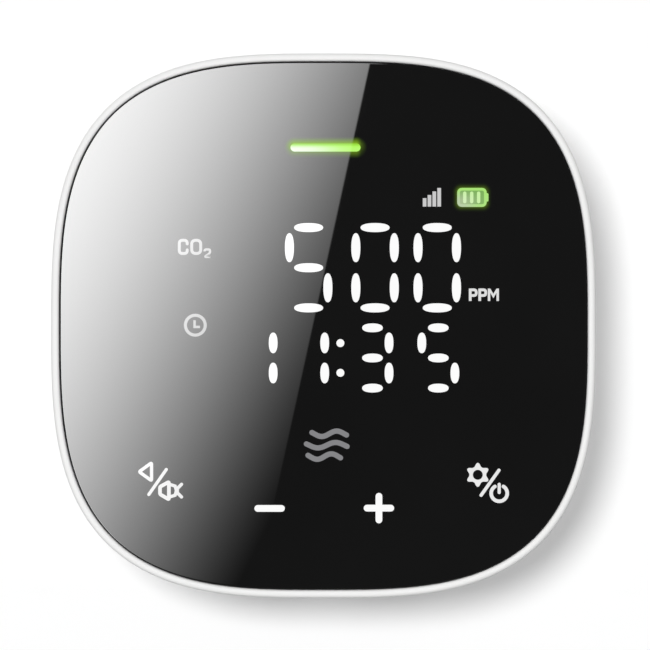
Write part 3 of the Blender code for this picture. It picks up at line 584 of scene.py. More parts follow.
def arc(x, z, radius, first, last, steps=16):
    """Points along a circular arc, with angles in degrees from the right, turning anticlockwise."""
    turns = [radians(first + (last - first) * i / steps) for i in range(steps + 1)]
    return [(x + radius * cos(t), z + radius * sin(t)) for t in turns]


def softened(path, radius, closed=False, steps=5):
    """The path with each of its corners replaced by a short curve."""
    result = []
    for i, corner in enumerate(path):
        if not closed and i in (0, len(path) - 1):
            result.append(corner)
            continue
        here, before, after = Vector(corner), Vector(path[i - 1]), Vector(path[(i + 1) % len(path)])
        start = here + (before - here).normalized() * radius
        end = here + (after - here).normalized() * radius
        for k in range(steps + 1):
            t = k / steps
            point = start * (1 - t) ** 2 + here * 2 * t * (1 - t) + end * t ** 2
            result.append((point.x, point.y))
    return result


def stroke_sides(path, width, closed):
    """The two sides of a stroke of the given width, mitred at the bends."""
    left, right = [], []
    for i, (x, z) in enumerate(path):
        around = []
        if closed or i > 0:
            around.append((path[i - 1], (x, z)))
        if closed or i < len(path) - 1:
            around.append(((x, z), path[(i + 1) % len(path)]))
        normals = []
        for (ax, az), (bx, bz) in around:
            length = hypot(bx - ax, bz - az)
            normals.append(((az - bz) / length, (bx - ax) / length))
        nx = sum(normal[0] for normal in normals) / len(normals)
        nz = sum(normal[1] for normal in normals) / len(normals)
        reach = width / 2 / (nx * nx + nz * nz)
        left.append((x + nx * reach, z + nz * reach))
        right.append((x - nx * reach, z - nz * reach))
    return left, right


def round_cap(centre, side, width):
    """The half circle that closes a stroke's end, from one of its sides to the other."""
    first = degrees(atan2(side[1] - centre[1], side[0] - centre[0]))
    return arc(*centre, width / 2, first, first - 180, 10)[1:-1]


def line(path, width, round_ends=True):
    """A shape: an open stroke."""
    left, right = stroke_sides(path, width, False)
    if round_ends:
        left += round_cap(path[-1], left[-1], width)
        right = right[::-1] + round_cap(path[0], right[0], width)
    else:
        right.reverse()
    return window(left + right)


def upright(x, low, high, width, round_ends=True):
    """A shape: an upright stroke."""
    return line([(x, low), (x, high)], width, round_ends)


def level(x, z, reach, width):
    """A shape: a level stroke with its middle at x."""
    return line([(x - reach, z), (x + reach, z)], width)


def loop(path, width):
    """A shape: a stroke that runs round and meets itself."""
    return window_ring(*stroke_sides(path, width, True))


def symbol(name, mat, *shapes, joined=False, slot="display_light"):
    """A symbol on the panel, whose shapes are joined into one mesh if they overlap."""
    first = bmesh.new()
    rest = bmesh.new() if joined else first
    for number, shape in enumerate(shapes):
        loft(rest if number else first, *shape)
    made = as_object(first, name, mat)
    if joined:
        combine(made, rest, "UNION", use_self=True)
    own(made, "case", slot)


# Which of its seven segments each figure lights, by the usual letters: a is at the top, and g in the middle
FIGURE_SEGMENTS = {"0": "abcdef", "1": "bc", "3": "abcdg", "5": "acdfg"}
# How many columns across and rows up from the figure's centre each segment lies
SEGMENT_PLACES = {
    "a": (0, 1), "b": (1, 0.5), "c": (1, -0.5), "d": (0, -1), "e": (-1, -0.5), "f": (-1, 0.5), "g": (0, 0),
}
# Figure centres, the height of its centre, the reach of its rows and columns, and half a segment's size
GAS_FIGURES = {
    "x": (-3.0, 10.4, 22.95), "z": 11.71, "row": 8.10, "column": 3.88, "long": 2.93, "thick": 0.915,
}
CLOCK_FIGURES = {
    "x": (-13.5, -3.1, 9.88, 23.17), "z": -6.5, "row": 6.08, "column": 3.34, "long": 2.08, "thick": 0.885,
}
COLON_X = 3.4
COLON_REACH = 3.0
COLON_RADIUS = 0.80


def figures(prefix, text, style):
    for number, (figure, x) in enumerate(zip(text, style["x"]), 1):
        lit_segments = []
        for letter in FIGURE_SEGMENTS[figure]:
            across, up = SEGMENT_PLACES[letter]
            place = (x + across * style["column"], style["z"] + up * style["row"])
            half_sizes = (style["thick"], style["long"]) if across else (style["long"], style["thick"])
            lit_segments.append(window(superellipse(*place, *half_sizes)))
        symbol(f"{prefix}_{number}", LIT_WHITE, *lit_segments)


def clock_colon():
    heights = [CLOCK_FIGURES["z"] + side * COLON_REACH for side in (-1, 1)]
    dots = [window(superellipse(COLON_X, z, COLON_RADIUS, COLON_RADIUS, 2.0)) for z in heights]
    symbol("clock_colon", LIT_WHITE, *dots)


def gas_formula():
    """The formula of carbon dioxide, drawn as plain strokes."""
    width, small_width = 0.59, 0.46
    low, high, hook = 14.58, 17.25, 0.72
    c_left, c_right = -29.10, -27.5
    o_left, o_right = -26.6, -24.78
    letter_c = [(c_right, high - hook), (c_right, high), (c_left, high)]
    letter_c += [(c_left, low), (c_right, low), (c_right, low + hook)]
    letter_o = [(o_left, low), (o_right, low), (o_right, high), (o_left, high)]
    figure_2 = [(-24.0, 15.0), (-24.0, 15.4), (-22.9, 15.4), (-22.9, 14.65), (-24.0, 13.9), (-22.75, 13.9)]
    symbol(
        "gas_formula", LIT_SOFT,
        line(softened(letter_c, 0.66), width),
        loop(softened(letter_o, 0.85, closed=True), width),
        line(softened(figure_2, 0.35), small_width, False),
    )


def unit_mark():
    """The unit of the reading, parts per million: two letters P and a letter M."""
    width, low, high = 0.55, 5.25, 7.25
    bowl_width, bowl_height = 1.22, 1.15
    m_left, m_right = 33.4, 35.15
    stem = (low - 0.25, high + 0.25)
    shapes = []
    for left in (29.6, 31.52):
        right, waist = left + bowl_width, high - bowl_height
        bowl = [(left, high), (right, high), (right, waist), (left, waist)]
        shapes += [upright(left, *stem, width, False), line(softened(bowl, 0.5), width, False)]
    shapes += [upright(x, *stem, width * 0.9, False) for x in (m_left, m_right)]
    dip = [(m_left + 0.08, high + 0.12), ((m_left + m_right) / 2, high - 1.25), (m_right - 0.08, high + 0.12)]
    symbol("unit_mark", LIT_UNIT, *shapes, line(dip, width * 0.8, False), joined=True)


def clock_symbol():
    x, z, radius = -25.87, 0.11, 2.0
    corner_x, corner_z = x - 0.15, z - 0.35
    hands = [(corner_x, z + 1.0), (corner_x, corner_z), (x + 0.95, corner_z)]
    dial = arc(x, z, radius, 0, 354, 59)
    symbol("clock_symbol", LIT_SOFT, loop(dial, 0.62), line(hands, 0.5, False))


def signal_bars():
    """Four bars of growing height."""
    first_x, pitch, low, width = 20.4, 0.98, 24.05, 0.74
    tops = (25.75, 26.38, 27.1, 27.8)
    bars = [upright(first_x + i * pitch, low, top, width, False) for i, top in enumerate(tops)]
    symbol("signal_bars", LIT_SIGNAL, *bars)


def battery_symbol():
    """The charge level: a battery's outline with three full bars over a dimmer field."""
    width = 0.54
    x, z = BATTERY
    half_x, half_z = (length / 2 - width / 2 for length in BATTERY_SIZE)
    corners = ((-1, -1), (1, -1), (1, 1), (-1, 1))
    body = softened([(x + sx * half_x, z + sz * half_z) for sx, sz in corners], 0.75, closed=True)
    tip_x, tip_half = x + half_x + 0.38, 0.6
    tip = upright(tip_x, z - tip_half, z + tip_half, 0.5)
    symbol("battery_symbol", LIT_BATTERY, loop(body, width), tip, slot="green_light")

    pitch, bar_half = 1.4, 0.85
    bars = [upright(x - 0.05 + i * pitch, z - bar_half, z + bar_half, 0.68) for i in (-1, 0, 1)]
    symbol("battery_bars", LIT_BATTERY_BARS, *bars, slot="green_light")

    field_y = FRONT_Y - PRINT_RISE / 2
    symbol("battery_field", LIT_BATTERY_FIELD, window(body, field_y), slot="green_light")


def light_bar():
    length, width = LIGHT_BAR_SIZE
    symbol("light_bar", LIT_BAR, level(*LIGHT_BAR, length / 2 - width / 2, width), slot="green_light")


def key_signs():
    """The minus and plus signs of the touch keys."""
    width, reach = 1.36, 2.39
    plus_x, plus_z = 11.18, -36.8
    symbol("minus_sign", LIT_WHITE, level(-10.88, -36.86, reach, width))
    standing = upright(plus_x, plus_z - reach, plus_z + reach, width)
    symbol("plus_sign", LIT_WHITE, level(plus_x, plus_z, reach, width), standing, joined=True)


def sound_symbol():
    """A loudspeaker, a slash and a muted loudspeaker."""
    cone = [(-37.2, -29.46), (-34.7, -27.65), (-34.7, -31.27)]
    slash = [(-31.72, -29.0), (-35.25, -34.05)]
    muted_cone = [(-33.0, -34.0), (-33.0, -32.5), (-31.2, -31.5), (-31.2, -35.05)]
    cross_left = [(-30.9, -32.05), (-29.95, -32.35), (-29.68, -33.27), (-29.95, -34.2), (-30.9, -34.5)]
    cross_right = [(-28.65, -32.0), (-29.5, -32.85), (-29.5, -33.7), (-28.65, -34.55)]
    symbol(
        "sound_symbol", LIT_UNIT,
        loop(softened(cone, 0.35, closed=True), 0.66),
        line(slash, 0.64),
        loop(softened(muted_cone, 0.3, closed=True), 0.74),
        line(cross_left, 0.64),
        line(cross_right, 0.66),
        joined=True,
    )


def gear(x, z, outer, valley, hole, teeth=6):
    """A shape: a toothed disc with a round hole."""
    points_a_tooth = 16
    count = teeth * points_a_tooth
    rim, bore = [], []
    for i in range(count):
        turn = pi / 2 + tau * i / count
        tooth = ((1 + cos(i * tau / points_a_tooth)) / 2) ** 1.5
        radius = valley + (outer - valley) * tooth
        rim.append((x + radius * cos(turn), z + radius * sin(turn)))
        bore.append((x + hole * cos(turn), z + hole * sin(turn)))
    return window_ring(bore, rim)


def settings_symbol():
    """A gear, a slash and a power mark."""
    power_x, power_z, power_radius = 35.45, -33.8, 1.62
    slash = [(35.4, -29.15), (31.8, -34.2)]
    symbol(
        "settings_symbol", LIT_MARK,
        gear(31.13, -30.08, 2.42, 1.70, 1.0),
        line(slash, 0.66),
        line(arc(power_x, power_z, power_radius, 122, 418, 40), 0.72),
        upright(power_x, -32.0, -33.65, 0.64),
        joined=True,
    )


def air_mark():
    """A plain mark of three drifting lines in the middle of the panel."""
    centre_x, centre_z, half, pitch = 0.65, -24.1, 4.1, 2.3
    wave_height, waves, steps = 0.55, 1.15, 24
    lines = []
    for row, (shift, length) in enumerate(((0.5, 0.85), (0.0, 1.0), (-0.5, 0.8))):
        z = centre_z + (1 - row) * pitch
        path = []
        for k in range(steps + 1):
            share = k / steps * 2 - 1
            x = centre_x + shift + share * half * length
            path.append((x, z + wave_height * sin(share * pi * waves)))
        lines.append(line(path, 1.05))
    symbol("air_mark", LIT_GREY, *lines)


# -------- case back

WALL = 1.8 * MM
BACK_RADIUS = 6.0 * MM
SCREW_SEAT_Y = 9.5 * MM
SCREW_HALF = 36.5 * MM
SCREW_PLACES = [(sx * SCREW_HALF, CENTRE_Z + sz * SCREW_HALF) for sx in (-1, 1) for sz in (-1, 1)]
RECESS_FLOOR_Y = 8.8 * MM
RECESS_LOW_Z, RECESS_HIGH_Z = 11.3 * MM, 54.7 * MM
RECESS_HALF_WIDTH = 14.1 * MM
RECESS_WALL = 1.6 * MM
LEG_CORNER = 6.0 * MM
KEYHOLE_PLACES = (-25.0 * MM, 25.0 * MM)
KEYHOLE_Z = 76.0 * MM
KEYHOLE_RADIUS = 4.0 * MM
KEYHOLE_SLOT_HALF = 2.1 * MM
KEYHOLE_RISE = 7.0 * MM
VENT_PITCH = 4.0 * MM
VENT_HALF_WIDTH = 0.9 * MM
SIDE_VENTS = {"x": 30.0 * MM, "z": 38.0 * MM, "half_height": 10.0 * MM}
TOP_VENTS = {"z": 94.0 * MM, "half_height": 4.0 * MM}
BELOW_CASE_Z = -2.0 * MM


def shell_sections(inset, radius, front_y=COVER_FRONT_Y):
    """Sections from the shell's open front edge to its flat back, all moved inwards by inset."""
    back_y = BACK_Y - inset
    sections = [outline(inset, front_y)]
    sections += [outline(inset + growth, back_y - radius + deep) for growth, deep in quarter_arc(radius, 12)]
    sections.append(outline(inset + radius + 0.3 * MM, back_y))
    return sections


def leg_outline(y, half_width, low_z, high_z):
    """A plate with a square lower end and a rounded upper end."""
    points = [Vector((-half_width, y, low_z)), Vector((half_width, y, low_z))]
    steps = 11
    for sx, first in ((1, 0.0), (-1, pi / 2)):
        for i in range(steps + 1):
            turn = first + pi / 2 * i / steps
            px = sx * (half_width - LEG_CORNER) + LEG_CORNER * cos(turn)
            points.append(Vector((px, y, high_z - LEG_CORNER + LEG_CORNER * sin(turn))))
    return points


def keyhole_outline(x, y, growth):
    """A round opening with a narrow slot above it."""
    radius, slot = KEYHOLE_RADIUS + growth, KEYHOLE_SLOT_HALF + growth
    round_steps, slot_steps = 32, 12
    top = KEYHOLE_Z + KEYHOLE_RISE
    meeting = asin(slot / radius)
    points = []
    for i in range(round_steps + 1):
        turn = pi / 2 + meeting + (tau - 2 * meeting) * i / round_steps
        points.append(Vector((x + radius * cos(turn), y, KEYHOLE_Z + radius * sin(turn))))
    for i in range(slot_steps + 1):
        turn = pi * i / slot_steps
        points.append(Vector((x + slot * cos(turn), y, top + slot * sin(turn))))
    return points


def round_ended(x, y, z, half_width, half_height, corner_points):
    return rounded_rectangle(x, y, z, half_width, half_height, half_width * 0.98, corner_points)


def socket_outline(x, margin):
    """The socket's upright outline with round ends, grown by the margin."""
    middle = (SOCKET_LOW + SOCKET_HIGH) / 2
    half = (SOCKET_HIGH - SOCKET_LOW) / 2
    flat = round_ended(0.0, 0.0, middle.z, half.y + margin, half.z + margin, 10)
    return [Vector((x, middle.y + point.x, point.z)) for point in flat]


def pocket_box(bm, x, margin, low_y, high_y):
    """The screw pocket behind a keyhole, grown by the margin."""
    half, below, above = 5.0 * MM + margin, 5.1 * MM + margin, 11.1 * MM + margin
    add_box(bm, (x - half, low_y, KEYHOLE_Z - below), (x + half, high_y, KEYHOLE_Z + above))


def inner_walls():
    """The solid walls behind the leg's recess, the keyholes and the screw wells."""
    bm = bmesh.new()
    root_y = BACK_Y - WALL / 2
    inner_y = RECESS_FLOOR_Y - RECESS_WALL
    wide = RECESS_HALF_WIDTH + RECESS_WALL
    add_box(bm, (-wide, inner_y, RECESS_LOW_Z - RECESS_WALL), (wide, root_y, RECESS_HIGH_Z + 7.5 * MM))
    for x in KEYHOLE_PLACES:
        pocket_box(bm, x, 1.4 * MM, inner_y, root_y)
    for x, z in SCREW_PLACES:
        add_rod(bm, 4.6 * MM, (x, SCREW_SEAT_Y - 2.1 * MM, z), (x, root_y, z))
    return bm


def screw_pockets():
    bm = bmesh.new()
    for x in KEYHOLE_PLACES:
        pocket_box(bm, x, 0.0, RECESS_FLOOR_Y, BACK_Y - WALL)
    return bm


def leg_recess():
    def section(y, growth):
        return leg_outline(y, RECESS_HALF_WIDTH + growth, RECESS_LOW_Z - growth, RECESS_HIGH_Z + growth)

    return bodies(flared(section, RECESS_FLOOR_Y, BACK_Y))


def finger_scoop():
    """A round hollow at the recess's upper end, wider at the back than at its floor."""
    floor_y = RECESS_FLOOR_Y + 1.4 * MM
    profile = [(floor_y, 3.2), (floor_y + 0.25 * MM, 3.9), (floor_y + 0.9 * MM, 4.6)]
    profile += [(BACK_Y - 0.45 * MM, 6.2), (BACK_Y - 0.15 * MM, 6.45), (BACK_Y, 6.8), (BACK_Y + MM, 6.9)]
    return bodies([circle(0.0, y, RECESS_HIGH_Z, radius * MM, 48) for y, radius in profile])


def well_outline(x, z, y, growth):
    return circle(x, y, z, 3.0 * MM + growth)


def vent_outline(x, z, half_height, y, growth):
    return round_ended(x, y, z, VENT_HALF_WIDTH + growth, half_height + growth, 8)


def back_openings():
    """The keyholes, the screw wells and the vents, each with a rounded mouth."""
    through_y = BACK_Y - WALL - 0.5 * MM
    vents = [(i * VENT_PITCH, TOP_VENTS["z"], TOP_VENTS["half_height"]) for i in range(-4, 5)]
    for i in range(-2, 3):
        for sx in (-1, 1):
            vents.append((sx * SIDE_VENTS["x"] + i * VENT_PITCH, SIDE_VENTS["z"], SIDE_VENTS["half_height"]))
    openings = [flared(partial(keyhole_outline, x), through_y, BACK_Y) for x in KEYHOLE_PLACES]
    openings += [flared(partial(well_outline, *place), SCREW_SEAT_Y, BACK_Y) for place in SCREW_PLACES]
    openings += [flared(partial(vent_outline, *vent), through_y, BACK_Y) for vent in vents]
    return bodies(*openings)


def socket_mouth():
    """The opening for the charging socket in the side wall, with a rounded mouth."""
    side_x = CASE_HALF - 0.12 * MM
    profile = [(50 * MM, 0.0), (side_x - 0.4 * MM, 0.0), (side_x - 0.15 * MM, 0.06), (side_x, 0.25)]
    profile += [(side_x + 0.2 * MM, 0.7), (side_x + 2 * MM, 0.9)]
    return bodies([socket_outline(x, GAP + growth * MM) for x, growth in profile])


def foot_pockets():
    """The hollows for the foot pads, which stop at the core of the case."""
    boxes = bmesh.new()
    near, far = FOOT_LOW.x - GAP, FOOT_HIGH.x + GAP
    high_y, high_z = FOOT_HIGH.y + GAP, FOOT_HIGH.z + GAP
    for low_x, high_x in ((-far, -near), (near, far)):
        add_box(boxes, (low_x, FOOT_LOW.y - GAP, BELOW_CASE_Z), (high_x, high_y, high_z))
    pockets = as_object(boxes, "foot_pockets")
    combine(pockets, bodies(shell_sections(1.3 * MM, BACK_RADIUS - MM)))
    bm = bmesh.new()
    bm.from_mesh(pockets.data)
    bpy.data.objects.remove(pockets)
    return bm


def rear_shell():
    inner = shell_sections(WALL, BACK_RADIUS - WALL)
    shell = lofted("rear_shell", WHITE_PLASTIC, inner[::-1] + shell_sections(0.0, BACK_RADIUS))
    combine(shell, inner_walls(), "UNION")
    for hollow in (screw_pockets, leg_recess, finger_scoop, back_openings, socket_mouth, foot_pockets):
        combine(shell, hollow())
    own(shell, "case", "white_plastic", "rear_cover")


def feet():
    """Soft pads let into the rounded lower back edge, flush with the case's skin."""
    for name, side in (("foot_pad_left", -1), ("foot_pad_right", 1)):
        low_x, high_x = sorted((side * FOOT_LOW.x, side * FOOT_HIGH.x))
        low_z, high_z = BELOW_CASE_Z, FOOT_HIGH.z
        corners = ((low_x, low_z), (high_x, low_z), (high_x, high_z), (low_x, high_z))
        sections = [[Vector((x, y, z)) for x, z in corners] for y in (FOOT_LOW.y, FOOT_HIGH.y)]
        pad = lofted(f"{name}_soft", RUBBER, sections)
        combine(pad, bodies(shell_sections(0.0, BACK_RADIUS)), "INTERSECT")
        combine(pad, bodies(shell_sections(MM, BACK_RADIUS - MM, COVER_FRONT_Y - MM)))
        soften_edges(pad, 0.2 * MM, 50)
        own(pad, "case", "rubber", name)


def case_screw(number, x, z):
    """A pan-head screw with a cross recess in its crown."""
    tip_radius, shank, head = 1.0 * MM, 1.3 * MM, 2.5 * MM
    rim_round, rim_height, crown_height, crown_steps = 0.1 * MM, 0.7 * MM, 0.9 * MM, 6
    tip_y, under = SCREW_SEAT_Y - 6 * MM, SCREW_SEAT_Y + GAP
    crown_y = under + rim_height + crown_height
    profile = [(tip_y, tip_radius), (tip_y + MM, shank), (under, shank), (under, head - rim_round)]
    profile += [(under + rim_round, head), (under + rim_height, head)]
    for i in range(1, crown_steps + 1):
        share = i / crown_steps
        y = under + rim_height + crown_height * sin(share * pi / 2)
        profile.append((y, head * (1 - 0.55 * share ** 2)))
    made = lofted(f"steel_case_screw_{number}", STEEL, [circle(x, y, z, radius) for y, radius in profile])

    arm, half, depth = 1.4 * MM, 0.308 * MM, 0.9 * MM
    corners = [(arm, half), (half, half), (half, arm), (-half, arm), (-half, half), (-arm, half)]
    corners += [(-px, -pz) for px, pz in corners]
    combine(made, bodies([
        [Vector((x + px * share, y, z + pz * share)) for px, pz in corners]
        for y, share in ((crown_y - depth, 0.6), (crown_y - 0.3 * MM, 1.0), (crown_y + MM, 1.05))
    ]))
    own(made, "case", "steel", f"case_screw_{number}")


def hinge_rod(radius, half, count=32):
    bm = bmesh.new()
    add_rod(bm, radius, (-half, HINGE.y, HINGE.z), (half, HINGE.y, HINGE.z), count)
    return bm


def leg():
    """The stand leg: a plate with two ribs, a knuckle round the hinge pin, and a soft pad."""
    half, low_z, high_z = 13.5 * MM, HINGE.z, LEG_HIGH.z
    plate_y, pad_seat_y = 10.6 * MM, 12.2 * MM
    knuckle_radius, bore_radius, bore_half = 2.1 * MM, 1.3 * MM, 20 * MM
    rib_x, rib_z, rib_half_length = 8.0 * MM, low_z + 19 * MM, 16 * MM
    rib_profile = (
        (LEG_LOW.y, 0.45 * MM), (LEG_LOW.y + 0.2 * MM, 0.6 * MM), (plate_y + 0.5 * MM, 0.62 * MM),
    )
    pad_z = (PAD_LOW.z + PAD_HIGH.z) / 2
    pad_half_x, pad_half_z, pad_corner, pad_gap = 8.0 * MM, 1.8 * MM, 1.0 * MM, 0.3 * MM

    def plate_section(y, growth):
        return leg_outline(y, half + growth, low_z, high_z + growth)

    def pad_section(y, growth):
        return rounded_rectangle(0.0, y, pad_z, pad_half_x + growth, pad_half_z + growth, pad_corner + growth)

    def seat_section(y, growth):
        wide, tall, corner = pad_half_x + pad_gap, pad_half_z + pad_gap, pad_corner + 0.2 * MM
        return rounded_rectangle(0.0, y, pad_z, wide + growth, tall + growth, corner + growth)

    made = lofted("leg", WHITE_PLASTIC, rounded_plate(plate_section, plate_y, LEG_HIGH.y))
    combine(made, hinge_rod(knuckle_radius, half, 48), "UNION")
    ribs = [
        [rounded_rectangle(x, y, rib_z, wide, rib_half_length, wide * 0.9, 6) for y, wide in rib_profile]
        for x in (-rib_x, rib_x)
    ]
    combine(made, bodies(*ribs), "UNION")
    combine(made, hinge_rod(bore_radius, bore_half))
    combine(made, bodies(flared(seat_section, pad_seat_y, LEG_HIGH.y, 0.15 * MM)))
    own(made, "stand", "white_plastic", "stand_leg")

    pad = lofted("leg_grip", RUBBER, rounded_plate(pad_section, PAD_LOW.y, PAD_HIGH.y, 0.2 * MM))
    own(pad, "stand", "rubber", "leg_pad")


def pin():
    half, radius, chamfer = PIN_HIGH.x, PIN_HIGH.z - HINGE.z, 0.2 * MM
    profile = [(-half, radius - chamfer), (-half + chamfer, radius)]
    profile += [(half - chamfer, radius), (half, radius - chamfer)]
    sections = []
    for x, r in profile:
        sections.append([Vector((x, HINGE.y + r * cos(t), HINGE.z + r * sin(t))) for t in full_turn(32)])
    own(lofted("pin", STEEL, sections), "case", "steel", "hinge_pin")


def charging_socket():
    """The socket: a rounded metal shell, and the contact tongue inside it."""
    low_x, high_x = SOCKET_LOW.x, SOCKET_HIGH.x
    skin, soft = 0.3 * MM, 0.1 * MM
    inside = [(low_x + 1.2 * MM, -skin), (high_x - soft, -skin), (high_x, -skin + soft)]
    outside = [(high_x, -soft), (high_x - soft, 0.0), (low_x, 0.0)]
    sections = [socket_outline(x, margin) for x, margin in inside + outside]
    own(lofted("charging_socket", STEEL, sections), "case", "steel", "usb_socket")

    y, z = ((SOCKET_LOW + SOCKET_HIGH) / 2).yz
    half_y, half_z, tip = 0.35 * MM, 3.3 * MM, high_x - 0.8 * MM
    tongue = bmesh.new()
    add_box(tongue, (low_x + 0.6 * MM, y - half_y, z - half_z), (tip, y + half_y, z + half_z))
    made = as_object(tongue, "socket_tongue", BLACK_PLASTIC)
    soften_edges(made, 0.15 * MM, 30)
    own(made, "case", "black_plastic")

    count, pitch, half_width, rise = 12, 0.5 * MM, 0.13 * MM, 0.03 * MM
    contacts = bmesh.new()
    for i in range(count):
        middle = z + (i - (count - 1) / 2) * pitch
        for side in (-1, 1):
            low_y, high_y = sorted((y + side * half_y, y + side * (half_y + rise)))
            low = (low_x + 2 * MM, low_y, middle - half_width)
            add_box(contacts, low, (tip - 0.4 * MM, high_y, middle + half_width))
    own(as_object(contacts, "socket_contacts", GOLD), "case", "gold_plate")


# -------- surroundings

STAGE_SIZE = 1.5
CAMERA_DISTANCE = 1.093
CAMERA_AIM = (0.30, 0.15)
CAMERA_LENS = 300
CARD_DISTANCE = 1.25
CARD_HALF = 0.16
SIDE_CARD_DISTANCE = 0.55
SIDE_CARD_HALF = 0.14
SIDE_CARD_GLOW = 6.0
WORLD_FRONT_GLOSS = 0.05
WORLD_BACK_GLOSS = 0.6
WORLD_FLOOR_GLOSS = 0.5
WORLD_FILL = 0.23
# What share of a light the glass mirrors, and what it shows where it mirrors nothing
GLASS_MIRROR = 0.0392
GLASS_BASE = 0.0075


def stage_plane(name, mat, size, place, turn, *kinds):
    """A square that only the given kinds of ray can see, and that casts no shadow."""
    bm = bmesh.new()
    bmesh.ops.create_grid(bm, x_segments=1, y_segments=1, size=size)
    made = as_object(bm, name, mat)
    made.location = place
    made.rotation_euler = turn
    for kind in ("camera", "diffuse", "glossy", "transmission", "volume_scatter", "shadow"):
        setattr(made, f"visible_{kind}", kind in kinds)


def empty_material(name):
    mat = bpy.data.materials.new(name)
    mat.use_nodes = True
    mat.node_tree.nodes.clear()
    return mat, mat.node_tree


def glowing(tree, strength):
    return node(tree, "Emission", Strength=strength).outputs[0]


def backdrop_material(name, colour, glow, axis, fade):
    """A pale matt surface that is see-through from behind and where it is seen edge-on."""
    mat, tree = empty_material(name)
    both = node(tree, "AddShader")
    feed(node(tree, "BsdfDiffuse", Color=colour).outputs[0], both.inputs[0])
    feed(glowing(tree, glow), both.inputs[1])
    slant = maths("ABSOLUTE", separated(geometry(tree, "Incoming"))[axis])
    facing = remap(slant, *fade, smooth=True)
    front = maths("SUBTRACT", 1.0, geometry(tree, "Backfacing"))
    shown = node(tree, "MixShader")
    feed(maths("MULTIPLY", facing, front), shown.inputs[0])
    feed(node(tree, "BsdfTransparent").outputs[0], shown.inputs[1])
    feed(both.outputs[0], shown.inputs[2])
    node(tree, "OutputMaterial", Surface=shown.outputs[0])
    return mat


def reflection_material():
    """A bright studio card: brightest at the upper left, fading to the lower right, with one slanted edge.

    It is worked out for the place on the glass, in millimetres from the panel's centre, where the camera
    sees each point of the card mirrored.
    """
    slope, first, span, power = 0.5, -76.0, 85.0, 1.7
    brightness_range, dimmest = 0.8918, 0.0824
    edge_slope, edge_x, edge_half = 0.218, 2.2, 0.15
    scale = CAMERA_DISTANCE / (CAMERA_DISTANCE + CARD_DISTANCE) / MM
    mat, tree = empty_material("reflection_card")
    place = separated(geometry(tree, "Position"))
    aim_x, aim_z = at(*CAMERA_AIM)
    x = maths("MULTIPLY_ADD", maths("SUBTRACT", place["X"], aim_x), scale, CAMERA_AIM[0])
    z = maths("MULTIPLY_ADD", maths("SUBTRACT", place["Z"], aim_z), scale, CAMERA_AIM[1])
    along = maths("SUBTRACT", x, maths("MULTIPLY", z, slope))
    share = maths("DIVIDE", maths("SUBTRACT", along, first), span, clamp=True)
    left_share = maths("SUBTRACT", 1.0, maths("POWER", share, power))
    shown = maths("MULTIPLY_ADD", left_share, brightness_range, dimmest)
    # The curve that turns a screen's brightness into light
    light = maths("POWER", maths("DIVIDE", maths("ADD", shown, 0.055), 1.055), 2.4)
    above_base = maths("MAXIMUM", maths("SUBTRACT", light, GLASS_BASE), 0.0)
    before_edge = maths("SUBTRACT", maths("MULTIPLY_ADD", z, edge_slope, -edge_x), x)
    lit_side = remap(before_edge, -edge_half, edge_half)
    strength = maths("DIVIDE", maths("MULTIPLY", above_base, lit_side), GLASS_MIRROR)
    node(tree, "OutputMaterial", Surface=glowing(tree, strength))
    return mat


def side_card_material():
    """A studio card that fades from one corner and stops at a slanted edge."""
    mat, tree = empty_material("side_card")
    place = separated(coordinates(tree))
    across = maths("ADD", place["X"], maths("MULTIPLY", place["Y"], 0.25))
    reach = (-SIDE_CARD_HALF, 0.2 * SIDE_CARD_HALF)
    fade = remap(across, *reach, SIDE_CARD_GLOW, 0.25 * SIDE_CARD_GLOW, smooth=True)
    lit_side = remap(across, 0.004, 0.0)
    node(tree, "OutputMaterial", Surface=glowing(tree, maths("MULTIPLY", fade, lit_side)))
    return mat


def lamp(name, kind, energy, place, **settings):
    """A lamp that shines at the case's middle and is itself seen nowhere."""
    data = bpy.data.lights.new(name, kind)
    data.energy = energy
    for key, value in settings.items():
        setattr(data, key, value)
    made = bpy.data.objects.new(name, data)
    bpy.context.scene.collection.objects.link(made)
    made.location = place
    made.rotation_euler = (CENTRE - Vector(place)).to_track_quat("-Z", "Y").to_euler()
    made.visible_camera = False
    made.visible_glossy = False


def studio_world():
    """White behind the object, soft light on matt surfaces, and little for the glass to mirror."""
    world = bpy.data.worlds.new("studio")
    bpy.context.scene.world = world
    world.use_nodes = True
    tree = world.node_tree
    rays = node(tree, "LightPath").outputs
    way = separated(coordinates(tree, "Generated"))
    level_part = remap(way["Y"], -0.25, 0.35, WORLD_FRONT_GLOSS, WORLD_BACK_GLOSS, smooth=True)
    floor_part = remap(way["Z"], -0.14, -0.75, 0.0, WORLD_FLOOR_GLOSS, smooth=True)
    seen = mix(rays["Is Glossy Ray"], WORLD_FILL, maths("ADD", level_part, floor_part), "FLOAT")
    strength = mix(rays["Is Camera Ray"], seen, 1.0, "FLOAT")
    wire(tree.nodes["Background"], Color=(1.0, 1.0, 1.0), Strength=strength)


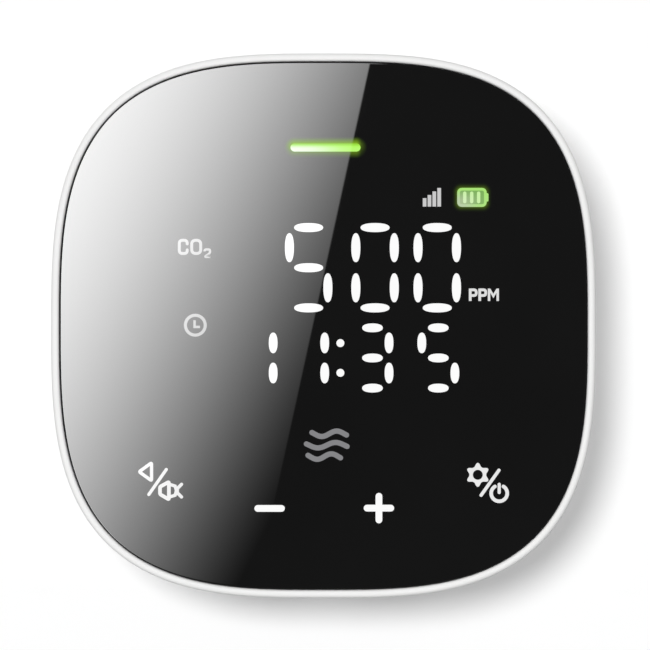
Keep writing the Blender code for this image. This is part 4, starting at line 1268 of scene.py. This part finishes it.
def studio():
    scene = bpy.context.scene
    scene.view_settings.view_transform = "Standard"
    scene.view_settings.look = "None"
    studio_world()

    to_front = (pi / 2, 0.0, 0.0)
    wall = backdrop_material("wall", (0.725, 0.725, 0.725), 0.232, "Y", (0.10, 0.35))
    stage_plane("wall", wall, STAGE_SIZE, (0.0, BACK_Y + 0.3 * MM, CENTRE_Z), to_front, "camera")
    floor = backdrop_material("floor", (0.74, 0.74, 0.74), 0.42, "Z", (0.085, 0.14))
    stage_plane("floor", floor, STAGE_SIZE, (0.0, 0.0, 0.0), (0.0, 0.0, 0.0), "camera")

    aim_x, aim_z = at(*CAMERA_AIM)
    card_place = (aim_x, FRONT_Y - CARD_DISTANCE, aim_z)
    card_turn = (-pi / 2, 0.0, 0.0)
    stage_plane("reflection_card", reflection_material(), CARD_HALF, card_place, card_turn, "glossy")
    side_way = Vector((-0.64, -0.64, -0.42)).normalized()
    side_place = CENTRE + side_way * SIDE_CARD_DISTANCE
    side_turn = (-side_way).to_track_quat("Z", "Y").to_euler()
    stage_plane("side_card", side_card_material(), SIDE_CARD_HALF, side_place, side_turn, "glossy")

    lamp("key_sun", "SUN", 2.46, CENTRE + Vector((-0.217, -1.0, 0.173)), angle=0.30)
    lamp("fill_sun", "SUN", 0.22, CENTRE + Vector((0.16, -1.0, -0.13)), angle=0.30)
    lamp("back_left", "AREA", 7.0, (-0.55, 0.85, 0.60), shape="DISK", size=0.5)
    lamp("back_right", "AREA", 3.2, (0.80, 0.60, 0.35), shape="DISK", size=0.6)

    camera = bpy.data.objects.new("camera", bpy.data.cameras.new("camera"))
    scene.collection.objects.link(camera)
    camera.data.lens = CAMERA_LENS
    camera.data.sensor_width = 36.0
    camera.data.clip_end = 10.0
    camera.location = (aim_x, FRONT_Y - CAMERA_DISTANCE, aim_z)
    camera.rotation_euler = to_front
    scene.camera = camera


# -------- build

glass_panel()
bezel()
paint_frame_nodes()
figures("gas_figure", "500", GAS_FIGURES)
figures("clock_figure", "1135", CLOCK_FIGURES)
clock_colon()
gas_formula()
unit_mark()
clock_symbol()
signal_bars()
battery_symbol()
light_bar()
key_signs()
sound_symbol()
settings_symbol()
air_mark()
rear_shell()
feet()
for screw_number, (screw_x, screw_z) in enumerate(SCREW_PLACES, 1):
    case_screw(screw_number, screw_x, screw_z)
leg()
pin()
charging_socket()
studio()
